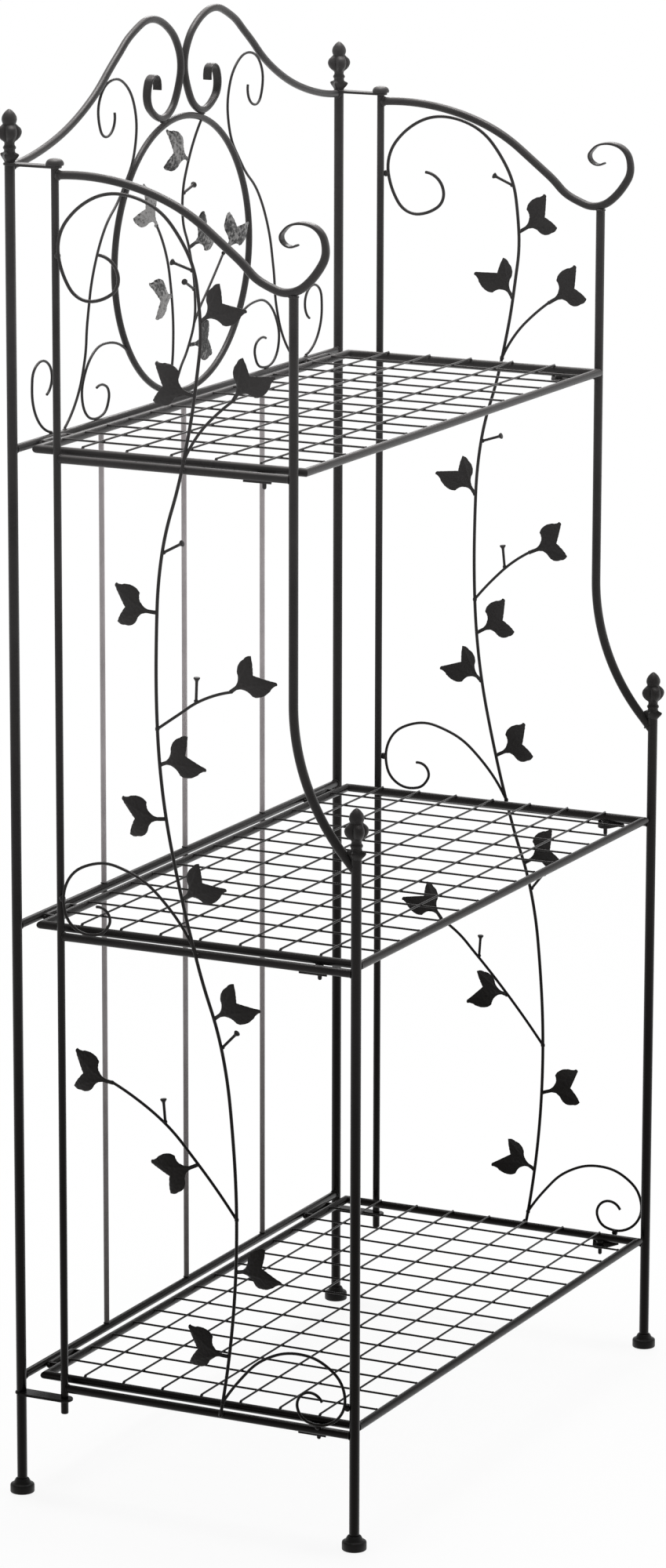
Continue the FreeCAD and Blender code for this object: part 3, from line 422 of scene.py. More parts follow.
# feet: a moulded drum with a stepped shoulder, as radius and height
footLook = Look({
    "profile": (
        (0, 0.3), (12.6, 0.3), (13.4, 0), (14.1, 0.3), (14.5, 1.1), (14.5, 8.6), (14.2, 9.7), (13.3, 10.5),
        (11.9, 10.9), (10.9, 11.3), (10.2, 12.4), (9.1, 14.6), (8.3, 16.1), (7.5, 16.9), (6.6, 17), (6.1, 16.4),
        (6, 12)),
    "sides": 40,
})
feet = Stock()
for x in (-halfWidth, halfWidth):
    for y in (-halfDepth, halfDepth):
        feet.turned(footLook.profile, xyz(x, y, 0), up, footLook.sides)
feet.make("feetMoulded", ["feet"], footCoat, slot="foot", sharp=50)

# finials: radius and height on a lobe or crown point, then in the hollow between two
finialLook = Look({
    "rows": (
        (6.15, 0, 6.15, 0), (7.2, 1.4, 6.6, 1.2), (9, 3.2, 7.3, 2.6), (10.9, 5.2, 7.8, 4), (12.1, 7, 8, 5.4),
        (12.3, 8.4, 7.8, 6.6), (11.2, 9.4, 7.4, 7.8), (9, 10.2, 7, 9), (7.2, 11.2, 6.6, 10.2),
        (6.4, 12.3, 6.4, 11.6), (6.3, 13.4, 6.3, 13.4), (7, 14.6, 7, 14.6), (7.5, 16, 7.5, 16),
        (7, 17.4, 7, 17.4), (6.1, 18.6, 6.1, 18.6), (5.9, 21, 5.9, 21), (6.8, 22.8, 6.3, 22.8),
        (9.6, 24.8, 7.2, 24.8), (12.6, 28, 8.5, 28), (14.2, 31.6, 9.3, 31.6), (14.4, 34.4, 9.4, 34.4),
        (13.2, 37.6, 9, 37.6), (10.4, 40.4, 8.2, 40.4), (8, 42.4, 7.5, 42.4), (7.6, 43.4, 7.4, 43.4),
        (8.3, 45.2, 8.2, 45.2), (8.8, 47.8, 8.7, 47.8), (8.5, 50.6, 8.3, 50.6), (7.2, 53.6, 6.8, 53.6),
        (4.9, 56.6, 4.6, 56.6), (2.2, 59, 2, 59), (0, 60, 0, 60)),
    "crownRows": 9, "crownPower": 1.3, "petals": 4, "petalPower": 0.9, "grain": 0.1, "grainScale": 0.5, "sides": 64,
    "turn": radians(45), "between": 2,
})


def splineWeights(t):
    return ((-t ** 3 + 2 * t ** 2 - t) / 2, (3 * t ** 3 - 5 * t ** 2 + 2) / 2,
            (-3 * t ** 3 + 4 * t ** 2 + t) / 2, (t ** 3 - t ** 2) / 2)


def finial(stock, base, look):
    rows, table = [], look.rows
    for i in range(len(table) - 1):
        quad = [table[max(0, min(len(table) - 1, i + k))] for k in (-1, 0, 1, 2)]
        for step in range(look.between):
            weights = splineWeights(step / look.between)
            blend = [sum(w * q[column] for w, q in zip(weights, quad)) for column in range(4)]
            row = []
            for k in range(look.sides):
                a = 2 * pi * k / look.sides
                wave = abs(cos(look.petals / 2 * a))
                share = (1 - wave) ** look.crownPower if i < look.crownRows else wave ** look.petalPower
                radius, height = [low + (high - low) * share for high, low in zip(blend[:2], blend[2:])]
                spot = xyz(radius * cos(a), radius * sin(a), height)
                radius += look.grain * noise.noise(spot * look.grainScale)
                a += look.turn
                row.append(base + xyz(cos(a) * radius, sin(a) * radius, height))
            rows.append(row)
    rows.append([base + up * table[-1][1]])
    stock.rows(rows)


for row, y, top in postRows:
    stock = Stock()
    for sign in (-1, 1):
        finial(stock, xyz(sign * halfWidth, y, top), finialLook)
    stock.make(row + "FinialsCast", [row + "_finials"], castCoat, sharp=60)
print("posts, feet and finials made")

# back rails and rods
rodLook = Look({
    "places": {"Left": -208, "Centre": 0, "Right": 208}, "radius": 3.25, "sink": 0.8, "railWeld": 0.6, "rodWeld": 0.9,
})
railZ = {level: height + rack.shelfRise for level, height in railHeights.items()}
reach = halfWidth - rack.postRadius + rack.sink
for level, z in railZ.items():
    straightTube("backRail" + level.title(), "back_rail_" + level, xyz(-reach, halfDepth, z), xyz(reach, halfDepth, z),
                 rack.railRadius)
    for sign in (-1, 1):
        seams.bead(xyz(sign * (reach - rodLook.railWeld), halfDepth, z), across, "rail", seed=z * 0.01 + sign)
for name, x in rodLook.places.items():
    rod = Stock()
    for low, high in (("bottom", "middle"), ("middle", "top")):
        inset = rack.railRadius - rodLook.sink
        ends = railZ[low] + inset, railZ[high] - inset
        rod.rod(xyz(x, halfDepth, ends[0]), xyz(x, halfDepth, ends[1]), rodLook.radius, rack.rodSides, rack.weldedNose)
        for end, way in zip(ends, (1, -1)):
            seams.bead(xyz(x, halfDepth, end + way * rodLook.rodWeld), up, "rod", seed=end + x)
    rod.make("backRod" + name, ["back_rod_" + name.lower()], rodCoatPaintedLight)

# side panels: uprights, rails, front upper tubes, top arms. The arm goes by its run and its fall
panelLook = Look({
    "tubeSetback": 361, "tubeRadius": 5.5, "tubeSink": 1.5, "landing": 809, "kneeHeight": 900, "kneeRun": 95,
    "kneeStep": 6, "kneeDegrees": 4, "armRadius": 5, "armFall": 114, "armTip": (1.3, 6, 0.55),
    "armFlat": (0.75, 0.93), "armStart": 0.5, "armStep": 5, "armDegrees": 6, "armNose": 0.15,
    "arm": (
        (0, 0), (230, 15), (500, 220), (760, 690), (869, 925), (990, 1000), (1087, 820), (1132, 556), (1112, 395),
        (1029, 313), (968, 375), (949, 465), (976, 545), (1013, 532)),
    "railWeld": 0.8, "tubeTopWeld": 1.2, "tubeFootWeld": 9, "armWeld": 4.6,
})


# round bar hammered flat towards its free end
def flattened(radius, tip, flat):
    def form(share):
        t = min(1, max(0, (share - flat[0]) / (flat[1] - flat[0])))
        t = t * t * (3 - 2 * t)
        return radius + (tip[0] - radius) * t, radius + (tip[1] - radius) * t, 1 + (tip[2] - 1) * t
    return form


for side, sign in sideSigns:
    x, name, look = sign * halfWidth, side.lower(), panelLook
    tubeY = halfDepth - look.tubeSetback
    straightTube("rearUpright" + side, name + "_rear_upright", xyz(x, uprightY, rack.uprightFoot),
                 xyz(x, uprightY, rack.uprightTop), rack.uprightRadius, wireNose)
    for level, z in railHeights.items():
        front, frontRadius = (tubeY, look.tubeRadius) if level == "top" else (-halfDepth, rack.postRadius)
        ends = uprightY - rack.uprightRadius + rack.sink, front + frontRadius - rack.sink
        straightTube("sideRail" + level.title() + side, "%s_rail_%s" % (name, level),
                     xyz(x, ends[0], z), xyz(x, ends[1], z), rack.railRadius)
        for end, way in zip(ends, (-1, 1)):
            seams.bead(xyz(x, end + way * look.railWeld, z), back, "sideRail", seed=z * 0.02 + end)
    knee, landing = xyz(x, tubeY, look.kneeHeight), xyz(x, -halfDepth, look.landing)
    slope = (landing - knee).normalized()
    start = xyz(x, tubeY, rack.armHeight - look.armFall - look.armRadius + look.tubeSink)
    bend = arcPoints(knee + up * look.kneeRun, -up, knee + slope * look.kneeRun, look.kneeStep, look.kneeDegrees)
    tube = Stock()
    tube.bar([start] + bend + [landing], across, look.tubeRadius, tubeSides, nose=rack.weldedNose)
    tube.make("frontUpperTube" + side, [name + "_front_upper_tube"])
    seams.bead(start - up * look.tubeTopWeld, up, "tubeTop", seed=3.3 * sign)
    seams.bead(landing - slope * look.tubeFootWeld, slope, "tubeFoot", seed=5.1 * sign)
    armStart = uprightY - rack.uprightRadius * look.armStart
    run = armStart - tubeY
    points = [xyz(x, armStart - run * a, rack.armHeight - look.armFall * d) for a, d in shares(look.arm)]
    arm = Stock()
    arm.bar(smoothPath(points, look.armStep, look.armDegrees), across, look.armRadius, tubeSides,
            form=flattened(look.armRadius, look.armTip, look.armFlat), nose=look.armNose)
    arm.make("topArm" + side, [name + "_top_arm"])
    seams.bead(xyz(x, uprightY - look.armWeld, rack.armHeight), back, "arm", seed=7.7 * sign)
print("back rails and side panels made")

# hinges of the panels: flat brackets, as width, underside and hole, and dome headed bolts
hingeLook = Look({
    "plates": {"top": (16, 1586, 3.1), "bottom": (20, 123, 4.6)}, "thickness": 3, "edge": 0.5, "inset": 0.3,
    "steps": 14, "boltSides": 36,
    "bolt": (
        (0, -2), (2.9, -2), (2.9, 0), (9.9, 0), (10.4, 0.5), (10.5, 2.6), (10.1, 3.4), (9.6, 4.6), (8.2, 6.2),
        (6.2, 7.3), (3.6, 7.8), (1.4, 8), (0, 8)),
})
look, plates, bolts = hingeLook, {level: Stock() for level in hingeLook.plates}, Stock()
rearEdge, midway = halfDepth - look.inset, (halfDepth + uprightY) / 2
for sign in (-1, 1):
    x = sign * halfWidth
    for level, (width, low, hole) in look.plates.items():
        half = width / 2
        outline = [xy(x - half, rearEdge), xy(x - half, midway)]
        for k in range(look.steps + 1):
            a = pi + pi * k / look.steps
            outline.append(xy(x + half * cos(a), uprightY + half * sin(a)))
        outline += [xy(x + half, midway), xy(x + half, rearEdge), xy(x, rearEdge)]
        plates[level].holedPlate(outline, xy(x, uprightY), hole, low, low + look.thickness, look.edge)
        seams.bead(xyz(x, halfDepth, low + look.thickness / 2), up, "bracket", seed=low + sign)
    bolts.turned(look.bolt, xyz(x, uprightY, look.plates["top"][1] + look.thickness), up, look.boltSides)
for level, stock in plates.items():
    stock.make(level + "HingePlates", [level + "_hinge_brackets"])
bolts.make("hingeBoltHeads", ["hinge_bolts"], castCoat)

# crest: two mirrored bars with hammered, rolled ends, by half the width and the rise
crestLook = Look({
    "radius": 4.5, "base": 1585, "rise": 136, "middle": 4.55, "tip": (1.4, 5.7, 0.5), "flat": (0.82, 0.97), "step": 6,
    "degrees": 6, "nose": 0.1, "postWeld": 0.8, "hookPoint": 13, "hookWeld": 4.6, "middleWeld": 0.5,
    "points": (
        (1000, 0), (942, 12), (803, 88), (663, 220), (533, 410), (386, 725), (304, 890), (172, 1000), (87.6, 920),
        (30, 780), (0, 580), (20, 340), (56, 190), (107, 122), (163, 166), (203, 290), (202, 410), (187, 487),
        (167, 508), (149, 480), (143.5, 430), (143.5, 378)),
})
look, span = crestLook, halfWidth - crestLook.middle
for side, sign in sideSigns:
    points = [xyz(sign * (look.middle + span * a), halfDepth, look.base + look.rise * b)
              for a, b in shares(look.points)]
    points[0] -= across * sign * (rack.postRadius - rack.sink)
    crest = Stock()
    crest.bar(smoothPath(points, look.step, look.degrees), back, look.radius, tubeSides,
              form=flattened(look.radius, look.tip, look.flat), nose=look.nose)
    crest.make("crestScroll" + side, ["crest_scroll_" + side.lower()])
    seams.bead(points[0] - across * sign * look.postWeld, across, "crest", seed=9 + sign)
    seams.blob(points[look.hookPoint] - up * look.hookWeld, "crestHook", seed=2 + sign)
seams.blob(xyz(0, halfDepth, look.base + look.rise * look.middleWeld), "crestMiddle", seed=4)

# oval on the top back rail
ovalLook = Look({"radius": 4, "width": 346, "height": 331, "bottom": 1268.05, "corners": 8, "step": 7})


def inOval(a, b):
    return xyz(a * ovalLook.width / 2, halfDepth, ovalLook.bottom + ovalLook.height / 2 * (1 + b))


ovalPoints = [inOval(a, b) for a, b in circle(ovalLook.corners)]
oval = Stock()
oval.bar(smoothPath(ovalPoints, ovalLook.step, loop=True), back, ovalLook.radius, tubeSides, loop=True)
oval.make("ovalRing", ["oval_ring"])
seams.blob(xyz(0, halfDepth, ovalLook.bottom - ovalLook.radius), "ovalFoot", seed=6)

# wire scrolls beside the oval, by half the width and the height. Each is welded at one of its points
scrollLook = Look({
    "radius": 1.6, "base": 1265.65, "top": 1590, "step": 6, "weldDrop": 1.5,
    "longS": (
        (405, 1092), (450, 1012), (500, 1099), (474, 1180), (407, 1213), (319, 1163), (281, 1068), (291, 932),
        (367, 797), (472, 673), (538, 522), (569, 371), (588, 223), (629, 103), (705, 0)),
    "cScroll": (
        (313, 186), (372, 240), (436, 262), (521, 252), (581, 187), (605, 97), (583, 29), (521, 0), (457, 35),
        (450, 88), (484, 117), (519, 112)),
    "hook": ((781, 0), (857, 57), (888, 162), (871, 245), (817, 263), (776, 208), (805, 140)),
    "welds": {"longS": 14, "cScroll": 7, "hook": 0},
})
look, rise = scrollLook, scrollLook.top - scrollLook.base
for side, sign in sideSigns:
    stock = Stock()
    for kind, spot in look.welds.items():
        points = [xyz(sign * halfWidth * a, halfDepth, look.base + rise * b) for a, b in shares(look[kind])]
        stock.bar(smoothPath(points, look.step), back, look.radius, wireSides, nose=wireNose)
        seams.blob(points[spot] - up * look.weldDrop, "scrollFoot", seed=spot + sign)
    stock.make("backScrolls" + side, ["back_scrolls_" + side.lower()])
print("hinges, crest, oval and scrolls made")

# leaf pair: pressed sheet with raised veins, cupped and hammered. Points are shares of its length
leafLook = Look({
    "length": 57, "thickness": 1.2, "rimShare": 0.35, "cup": 95, "crown": 0.56, "grid": 1.5, "gridClear": 0.7,
    "edgeStep": 1.3, "edgeDegrees": 12, "wobble": 0.3, "wobbleScale": 0.3, "wobbleFrom": 12,
    "stalk": ((0, 0.04), (0.18, 0.04)),
    "arcs": (
        ((0.3, 0.08), (0.38, 0.18)), ((0.46, 0.33), (0.66, 0.4)), ((0.77, 0.405), (0.84, 0.37)),
        ((0.77, 0.18), (0.68, 0.02)), ((0.8, -0.12), (0.985, -0.33)), ((1, -0.375), (0.965, -0.408)),
        ((0.9, -0.398), (0.84, -0.41)), ((0.72, -0.443), (0.55, -0.425)), ((0.47, -0.39), (0.41, -0.33)),
        ((0.335, -0.13), (0.18, -0.04))),
    "veins": (((0.12, 0), (0.52, 0.12), (0.83, 0.36)), ((0.12, 0), (0.58, -0.12), (0.98, -0.36))),
    "veinSteps": 24, "veinFrom": 9, "veinFade": 8, "ridge": 0.7, "ridgeWidth": 1.1, "sideRidge": 0.4, "sideStep": 4.6,
    "sideAlong": 0.75, "sideSlant": 0.8, "sidePower": 6, "sideFrom": 3, "pits": 0.45, "pitScale": 0.42, "droop": 0.05,
    "droopReach": 9, "roll": 3, "nod": 2, "weldOut": 2,
})


def flatArc(a, b, c, look):
    a, b, c = [xyz(p[0], p[1], 0) for p in (a, b, c)]
    heading = circleHeading(a, b, c, a)
    return [xy(p.x, p.y) for p in arcPoints(a, heading, c, look.edgeStep, look.edgeDegrees)]


def leafOutline(look):
    def scale(s):
        return xy(s[0] * look.length, s[1] * look.length)

    foot, neck = [scale(s) for s in look.stalk]
    edge = [xy(foot.x, -foot.y), foot, neck]
    for way, end in look.arcs:
        edge += flatArc(edge[-1], scale(way), scale(end), look)[1:]
    for i, p in enumerate(edge):
        if p.x > look.wobbleFrom:
            shake = [noise.noise(xyz(p.x, p.y, layer) * look.wobbleScale) for layer in (3, 8)]
            edge[i] = p + Vector(shake) * look.wobble
    return edge


def leafHeight(p, look):
    crown = look.length * look.crown
    cup = sqrt(look.cup ** 2 - (p.x - crown) ** 2 - p.y ** 2) - sqrt(look.cup ** 2 - crown ** 2)
    best = None
    for vein in look.veins:
        a, b, c = [Vector(s) * look.length for s in vein]
        for k in range(look.veinSteps):
            t = k / (look.veinSteps - 1)
            spot = a * (1 - t) ** 2 + b * 2 * t * (1 - t) + c * t * t
            d = (p - spot).length
            if best is None or d < best[0]:
                best = (d, t)
    d, t = best
    fade = min(1, max(0, (p.x - look.veinFrom) / look.veinFade))
    ridge = look.ridge * exp(-(d / look.ridgeWidth) ** 2)
    phase = (t * look.length * look.sideAlong - d * look.sideSlant) / look.sideStep
    sideVein = look.sideRidge * abs(cos(pi * phase)) ** look.sidePower * min(1, d / look.sideFrom)
    pits = look.pits * noise.noise(xyz(p.x, p.y, 1) * look.pitScale)
    return cup + (ridge + sideVein + pits - look.droop * min(d, look.droopReach)) * fade


def leafMesh(look):
    edge = leafOutline(look)
    inside = []
    step, length = look.grid, look.length
    most = int(0.5 * length / step)
    for i in range(int(length / step) + 1):
        for j in range(-most, most + 1):
            p = xy(i * step, (j + 0.5 * (i % 2)) * step)
            if min((p - q).length for q in edge) > look.gridClear * step:
                inside.append(p)
    count = len(edge)
    border = [(k, (k + 1) % count) for k in range(count)]
    insideOnly, epsilon = 1, 1e-5
    points, _, faces, _, _, _ = delaunay_2d_cdt(edge + inside, border, [], insideOnly, epsilon)
    used = sorted({k for face in faces for k in face})
    new = {old: k for k, old in enumerate(used)}
    flat = [points[k] for k in used]
    faces = [[new[k] for k in face] for face in faces]
    edges = [pair for face in faces for pair in zip(face, face[1:] + face[:1])]
    known = set(edges)
    rim = [(a, b) for a, b in edges if (b, a) not in known]
    onRim = {k for pair in rim for k in pair}
    half, shift = look.thickness / 2, len(flat)
    top, low = [], []
    for k, p in enumerate(flat):
        height, lift = leafHeight(p, look), half * look.rimShare if k in onRim else half
        top.append(xyz(p.x, p.y, height + lift))
        low.append(xyz(p.x, p.y, height - lift))
    allFaces = [tuple(face) for face in faces] + [tuple(k + shift for k in reversed(face)) for face in faces]
    return top + low, allFaces + [(b, a, a + shift, b + shift) for a, b in rim]


leafPoints, leafFaces = leafMesh(leafLook)
budLook = Look({
    "profile": (
        (0, 0), (1.7, 0), (1.7, 21), (1.8, 25), (2.3, 26.4), (3.2, 27.6), (3.9, 28.8), (3.9, 29.6), (3.4, 30.1),
        (1.4, 30.35), (0, 30.4)),
    "sides": 14, "weldOut": 2.5,
})


def inPlane(level, degrees):
    a = radians(degrees)
    return level * cos(a) + up * sin(a)


def addLeaf(stock, root, heading, normal, rng):
    crossway = normal.cross(heading)
    roll, nod = [radians(rng.uniform(-most, most)) for most in (leafLook.roll, leafLook.nod)]
    tilt = Matrix.Rotation(roll, 3, heading) @ Matrix.Rotation(nod, 3, crossway)
    turn = tilt @ Matrix((heading, crossway, normal)).transposed()
    start = len(stock.points)
    stock.points += [root + turn @ p for p in leafPoints]
    stock.faces += [tuple(k + start for k in face) for face in leafFaces]
    seams.blob(root + heading * leafLook.weldOut, "leaf", seed=root.z * 0.1 + root.x)


def addBud(stock, root, heading):
    stock.turned(budLook.profile, root, heading, budLook.sides)
    seams.blob(root + heading * budLook.weldOut, "bud", seed=root.z * 0.13 + root.x)


# vine inside the oval: by half its width and half its height, headings and twists in degrees
ovalVineLook = Look({
    "tall": (
        (289, 957), (87, 674), (0, 450), (0, 239), (87, 33), (168, -263), (162, -523), (64, -704), (-58, -849),
        (-139, -990)),
    "short": ((-382, 245), (-249, 21), (-173, -281), (-150, -571), (-173, -807), (-231, -973)),
    "branch": ((595, -82), (382, -299), (243, -432), (165, -535)),
    "radius": {"tall": 1.6, "short": 1.6, "branch": 1.5}, "step": 5,
    "leaves": (
        (87, 674, 160, 10), (-382, 245, 139, 9), (87, 33, 27, 4), (595, -82, 55, 14), (-173, -281, 181, 0),
        (80, -680, 3, 0)),
    "buds": ((0, 438, 15), (155, -287, 154)), "seed": 4,
})
rng = random.Random(ovalVineLook.seed)
ovalVine, ovalLeaves, paths = Stock(), Stock(), []
for kind, radius in ovalVineLook.radius.items():
    points = [inOval(a, b) for a, b in shares(ovalVineLook[kind])]
    if kind == "branch":
        points[-1] = nearestOn(paths[:1], points[-1])
    paths.append(smoothPath(points, ovalVineLook.step))
    ovalVine.bar(paths[-1], back, radius, wireSides, nose=wireNose)
for a, b, degrees, twist in shares(ovalVineLook.leaves):
    bent = Matrix.Rotation(radians(-twist), 3, up)
    addLeaf(ovalLeaves, nearestOn(paths, inOval(a, b)), bent @ inPlane(across, degrees), bent @ -back, rng)
for a, b, degrees in shares(ovalVineLook.buds):
    addBud(ovalVine, nearestOn(paths, inOval(a, b)), inPlane(across, degrees))
for spot in (paths[0][0], paths[0][-1], paths[1][-1]):
    seams.blob(spot, "ovalWire", seed=spot.x)
ovalVine.make("ovalVineWires", ["oval_vine"])
ovalLeaves.make("ovalLeafPairs", ["oval_leaves"], ovalLeafCoatPaintedLight, sharp=60)

# vine of a side panel: by the panel's depth, counted forward, and the height from bottom rail to arm.
# Leaves and buds end with their headings on the left and on the right, in degrees from the front
vineLook = Look({
    "stem": (
        (268, 940), (324, 924), (249, 903), (150, 937), (249, 984), (413, 983), (522, 948), (560, 894), (544, 836),
        (508, 778), (447, 706), (429, 619), (449, 508), (503, 427), (549, 375), (617, 309), (655, 217), (658, 119),
        (612, 0)),
    "topBranch": ((510, 782), (551, 803), (624, 826), (653, 833)),
    "branchesLeft": {
        "middleBranch": ((431, 565), (492, 578), (549, 590), (644, 601)),
        "bottomBranch": ((656, 168), (551, 209), (451, 240), (356, 259), (297, 268))},
    "branchesRight": {
        "middleBranch": ((431, 566), (472, 580), (568, 606), (600, 612)),
        "bottomBranch": ((656, 168), (551, 209), (451, 242), (380, 263), (334, 272))},
    "middleScroll": (
        (537, 388), (474, 416), (363, 443), (252, 449), (168, 434), (150, 416), (172, 396), (229, 389), (274, 394),
        (288, 405), (249, 413)),
    "bottomScroll": (
        (617, 12), (664, 31), (737, 53), (825, 63), (912, 59), (973, 41), (977, 24), (943, 10), (898, 6), (848, 12.5),
        (841, 24), (868, 32), (912, 26)),
    "radius": {
        "stem": 2, "topBranch": 1.75, "middleBranch": 1.75, "bottomBranch": 1.75, "middleScroll": 1.75,
        "bottomScroll": 1.75},
    "leaves": (
        (562, 893, 37, 33), (542, 835, 166, 131), (653, 833, 51, 33), (431, 659, 172, 135), (644, 601, 35, 23),
        (438, 536, 21, 30), (449, 492, 182, 147), (499, 427, 39, 28), (599, 333, 36, 31), (297, 268, 166, 138),
        (549, 210, 204, 174), (660, 124, 16, 15), (635, 52, 170, 160)),
    "buds": (
        (533, 932, 163, 157), (451, 707, 28, 18), (546, 589, 88, 96), (617, 309, 46, 52), (451, 240, 95, 86)),
    "headings": {"Left": 2, "Right": 3}, "seeds": {"Left": 11, "Right": 12}, "plane": 427.05, "step": 6,
    "welds": ((144.5, 937), (144.5, 416), (983.5, 24), (898, 4.3), (612, 2)), "weldIn": 2,
})


def onPanel(sign, a, b):
    return xyz(sign * vineLook.plane, halfDepth - panelDepth * a, railHeights["bottom"] + panelRise * b)


look = vineLook
for side, sign in sideSigns:
    rng = random.Random(look.seeds[side])
    vine, leaves, paths, column = Stock(), Stock(), [], look.headings[side]
    for kind, radius in look.radius.items():
        table = look[kind] if kind in look else look["branches" + side][kind]
        points = [onPanel(sign, a, b) for a, b in shares(table)]
        if paths:
            points[0] = nearestOn(paths[:1], points[0])
            seams.blob(points[0], "branch", seed=points[0].z * 0.1 + sign)
        paths.append(smoothPath(points, look.step))
        vine.bar(paths[-1], across, radius, wireSides, nose=wireNose)
    for row in shares(look.leaves):
        addLeaf(leaves, nearestOn(paths, onPanel(sign, *row[:2])), inPlane(-back, row[column]), across * sign, rng)
    for row in shares(look.buds):
        addBud(vine, nearestOn(paths, onPanel(sign, *row[:2])), inPlane(-back, row[column]))
    for z in railHeights.values():
        spot = min(paths[0], key=lambda p: abs(p.z - z))
        seams.blob(xyz(sign * (halfWidth + rack.railRadius), spot.y, z), "stem", seed=z * 0.3 + sign)
    for a, b in shares(look.welds):
        seams.blob(onPanel(sign, a, b) - across * sign * look.weldIn, "bridge", seed=a + b + sign)
    vine.make("sideVine" + side, [side.lower() + "_vine"])
    leaves.make("sideLeafPairs" + side, [side.lower() + "_leaves"], leafCoat, sharp=60)
print("vines and leaves made")

# shelves: mitred tube frame, welded wire mesh, lock pins at the front, hinge pins at the back.
# Hinge barrels and lock tabs stay on the frame
shelfLook = Look({
    "halfWidth": 402, "rear": 197, "front": {"bottom": -217.5, "middle": -217.5, "top": -146.5}, "radius": 5,
    "support": 10, "longWires": {"bottom": 7, "middle": 7, "top": 5}, "crossWires": 14, "wireRadius": 1.25,
    "wireSides": 12, "wireGap": 0.05, "longShort": 2, "longNose": 0.4, "crossShort": 2.9, "crossNose": 0.1,
    "longWeld": (2.6, 1.1), "crossWeld": 3.8, "lockSetback": 52, "lockSides": 24, "lockWeld": 4.6,
    "lock": (
        (0, 3), (4.5, 3), (4.5, 10.1), (4.2, 10.6), (3.7, 10.75), (2.5, 10.75), (2.5, 21), (2.35, 22), (1.9, 22.8),
        (1.1, 23.4), (0, 23.55)),
    "hingeX": 340, "hingeY": 210.95, "barrelRadius": 4.5, "barrelLength": 52, "barrelNose": 0.1,
    "barrelWeld": (16, 4.6), "pinRadius": 2.5, "headLength": 2, "sidePlay": 0.3, "lugThickness": 3, "lugEye": 4,
    "lugSink": 2.5, "lugSteps": 12, "lugWeld": 4.4, "edge": 0.4, "tabLength": 36, "tabThickness": 2.5, "tabNose": 9.5,
    "tabNoseDegrees": 67, "tabHole": 3.75, "tabDrop": 5.05, "tabWeld": (3.4, 4.6), "tabSteps": (6, 3, 4),
})


def shelfFrame(stock, corners, look):
    rows, count = [], len(corners)
    for i, corner in enumerate(corners):
        arrive = (corner - corners[i - 1]).normalized()
        leave = (corners[(i + 1) % count] - corner).normalized()
        for at, inward in ((corner - arrive * look.support, up.cross(arrive)),
                           (corner, up.cross(arrive) + up.cross(leave)),
                           (corner + leave * look.support, up.cross(leave))):
            rows.append([at + inward * look.radius * c + up * look.radius * s for c, s in circle(tubeSides)])
    stock.rows(rows, loop=True)


def lugPlate(stock, at, look):
    eye, edge, thickness = look.lugEye, look.edge, look.lugThickness
    foot = look.rear - look.hingeY + look.lugSink
    outline = [xyz(0, foot, -eye)]
    for k in range(look.lugSteps + 1):
        a = -pi / 2 + pi * k / look.lugSteps
        outline.append(xyz(0, cos(a), sin(a)) * eye)
    outline.append(xyz(0, foot, eye))
    small = [p * (1 - edge / eye) for p in outline]
    layers = ((small, 0), (outline, edge), (outline, thickness - edge), (small, thickness))
    stock.rows([[at + across * shift + p for p in row] for row, shift in layers])


def tabPlate(stock, sign, y, top, look):
    half, hole = look.tabLength / 2, halfWidth - look.halfWidth
    noseSteps, footSteps, sideSteps = look.tabSteps
    angles = [radians(look.tabNoseDegrees * k / noseSteps) for k in range(-noseSteps, noseSteps + 1)]
    nose = [xy(hole, 0) + xy(cos(a), sin(a)) * look.tabNose for a in angles]
    foot = [xy(0, half * k / footSteps) for k in range(footSteps, -footSteps - 1, -1)]
    sideways = [foot[-1].lerp(nose[0], k / sideSteps) for k in range(1, sideSteps)]
    outline = foot + sideways + nose + [xy(p.x, -p.y) for p in reversed(sideways)]
    outline = [xy(sign * (halfWidth - p.x), y + p.y) for p in outline]
    if sign > 0:
        outline.reverse()
    stock.holedPlate(outline, xy(sign * look.halfWidth, y), look.tabHole, top - look.tabThickness, top, look.edge)


def evenly(start, end, count):
    return [start + (end - start) * (i + 1) / (count + 1) for i in range(count)]


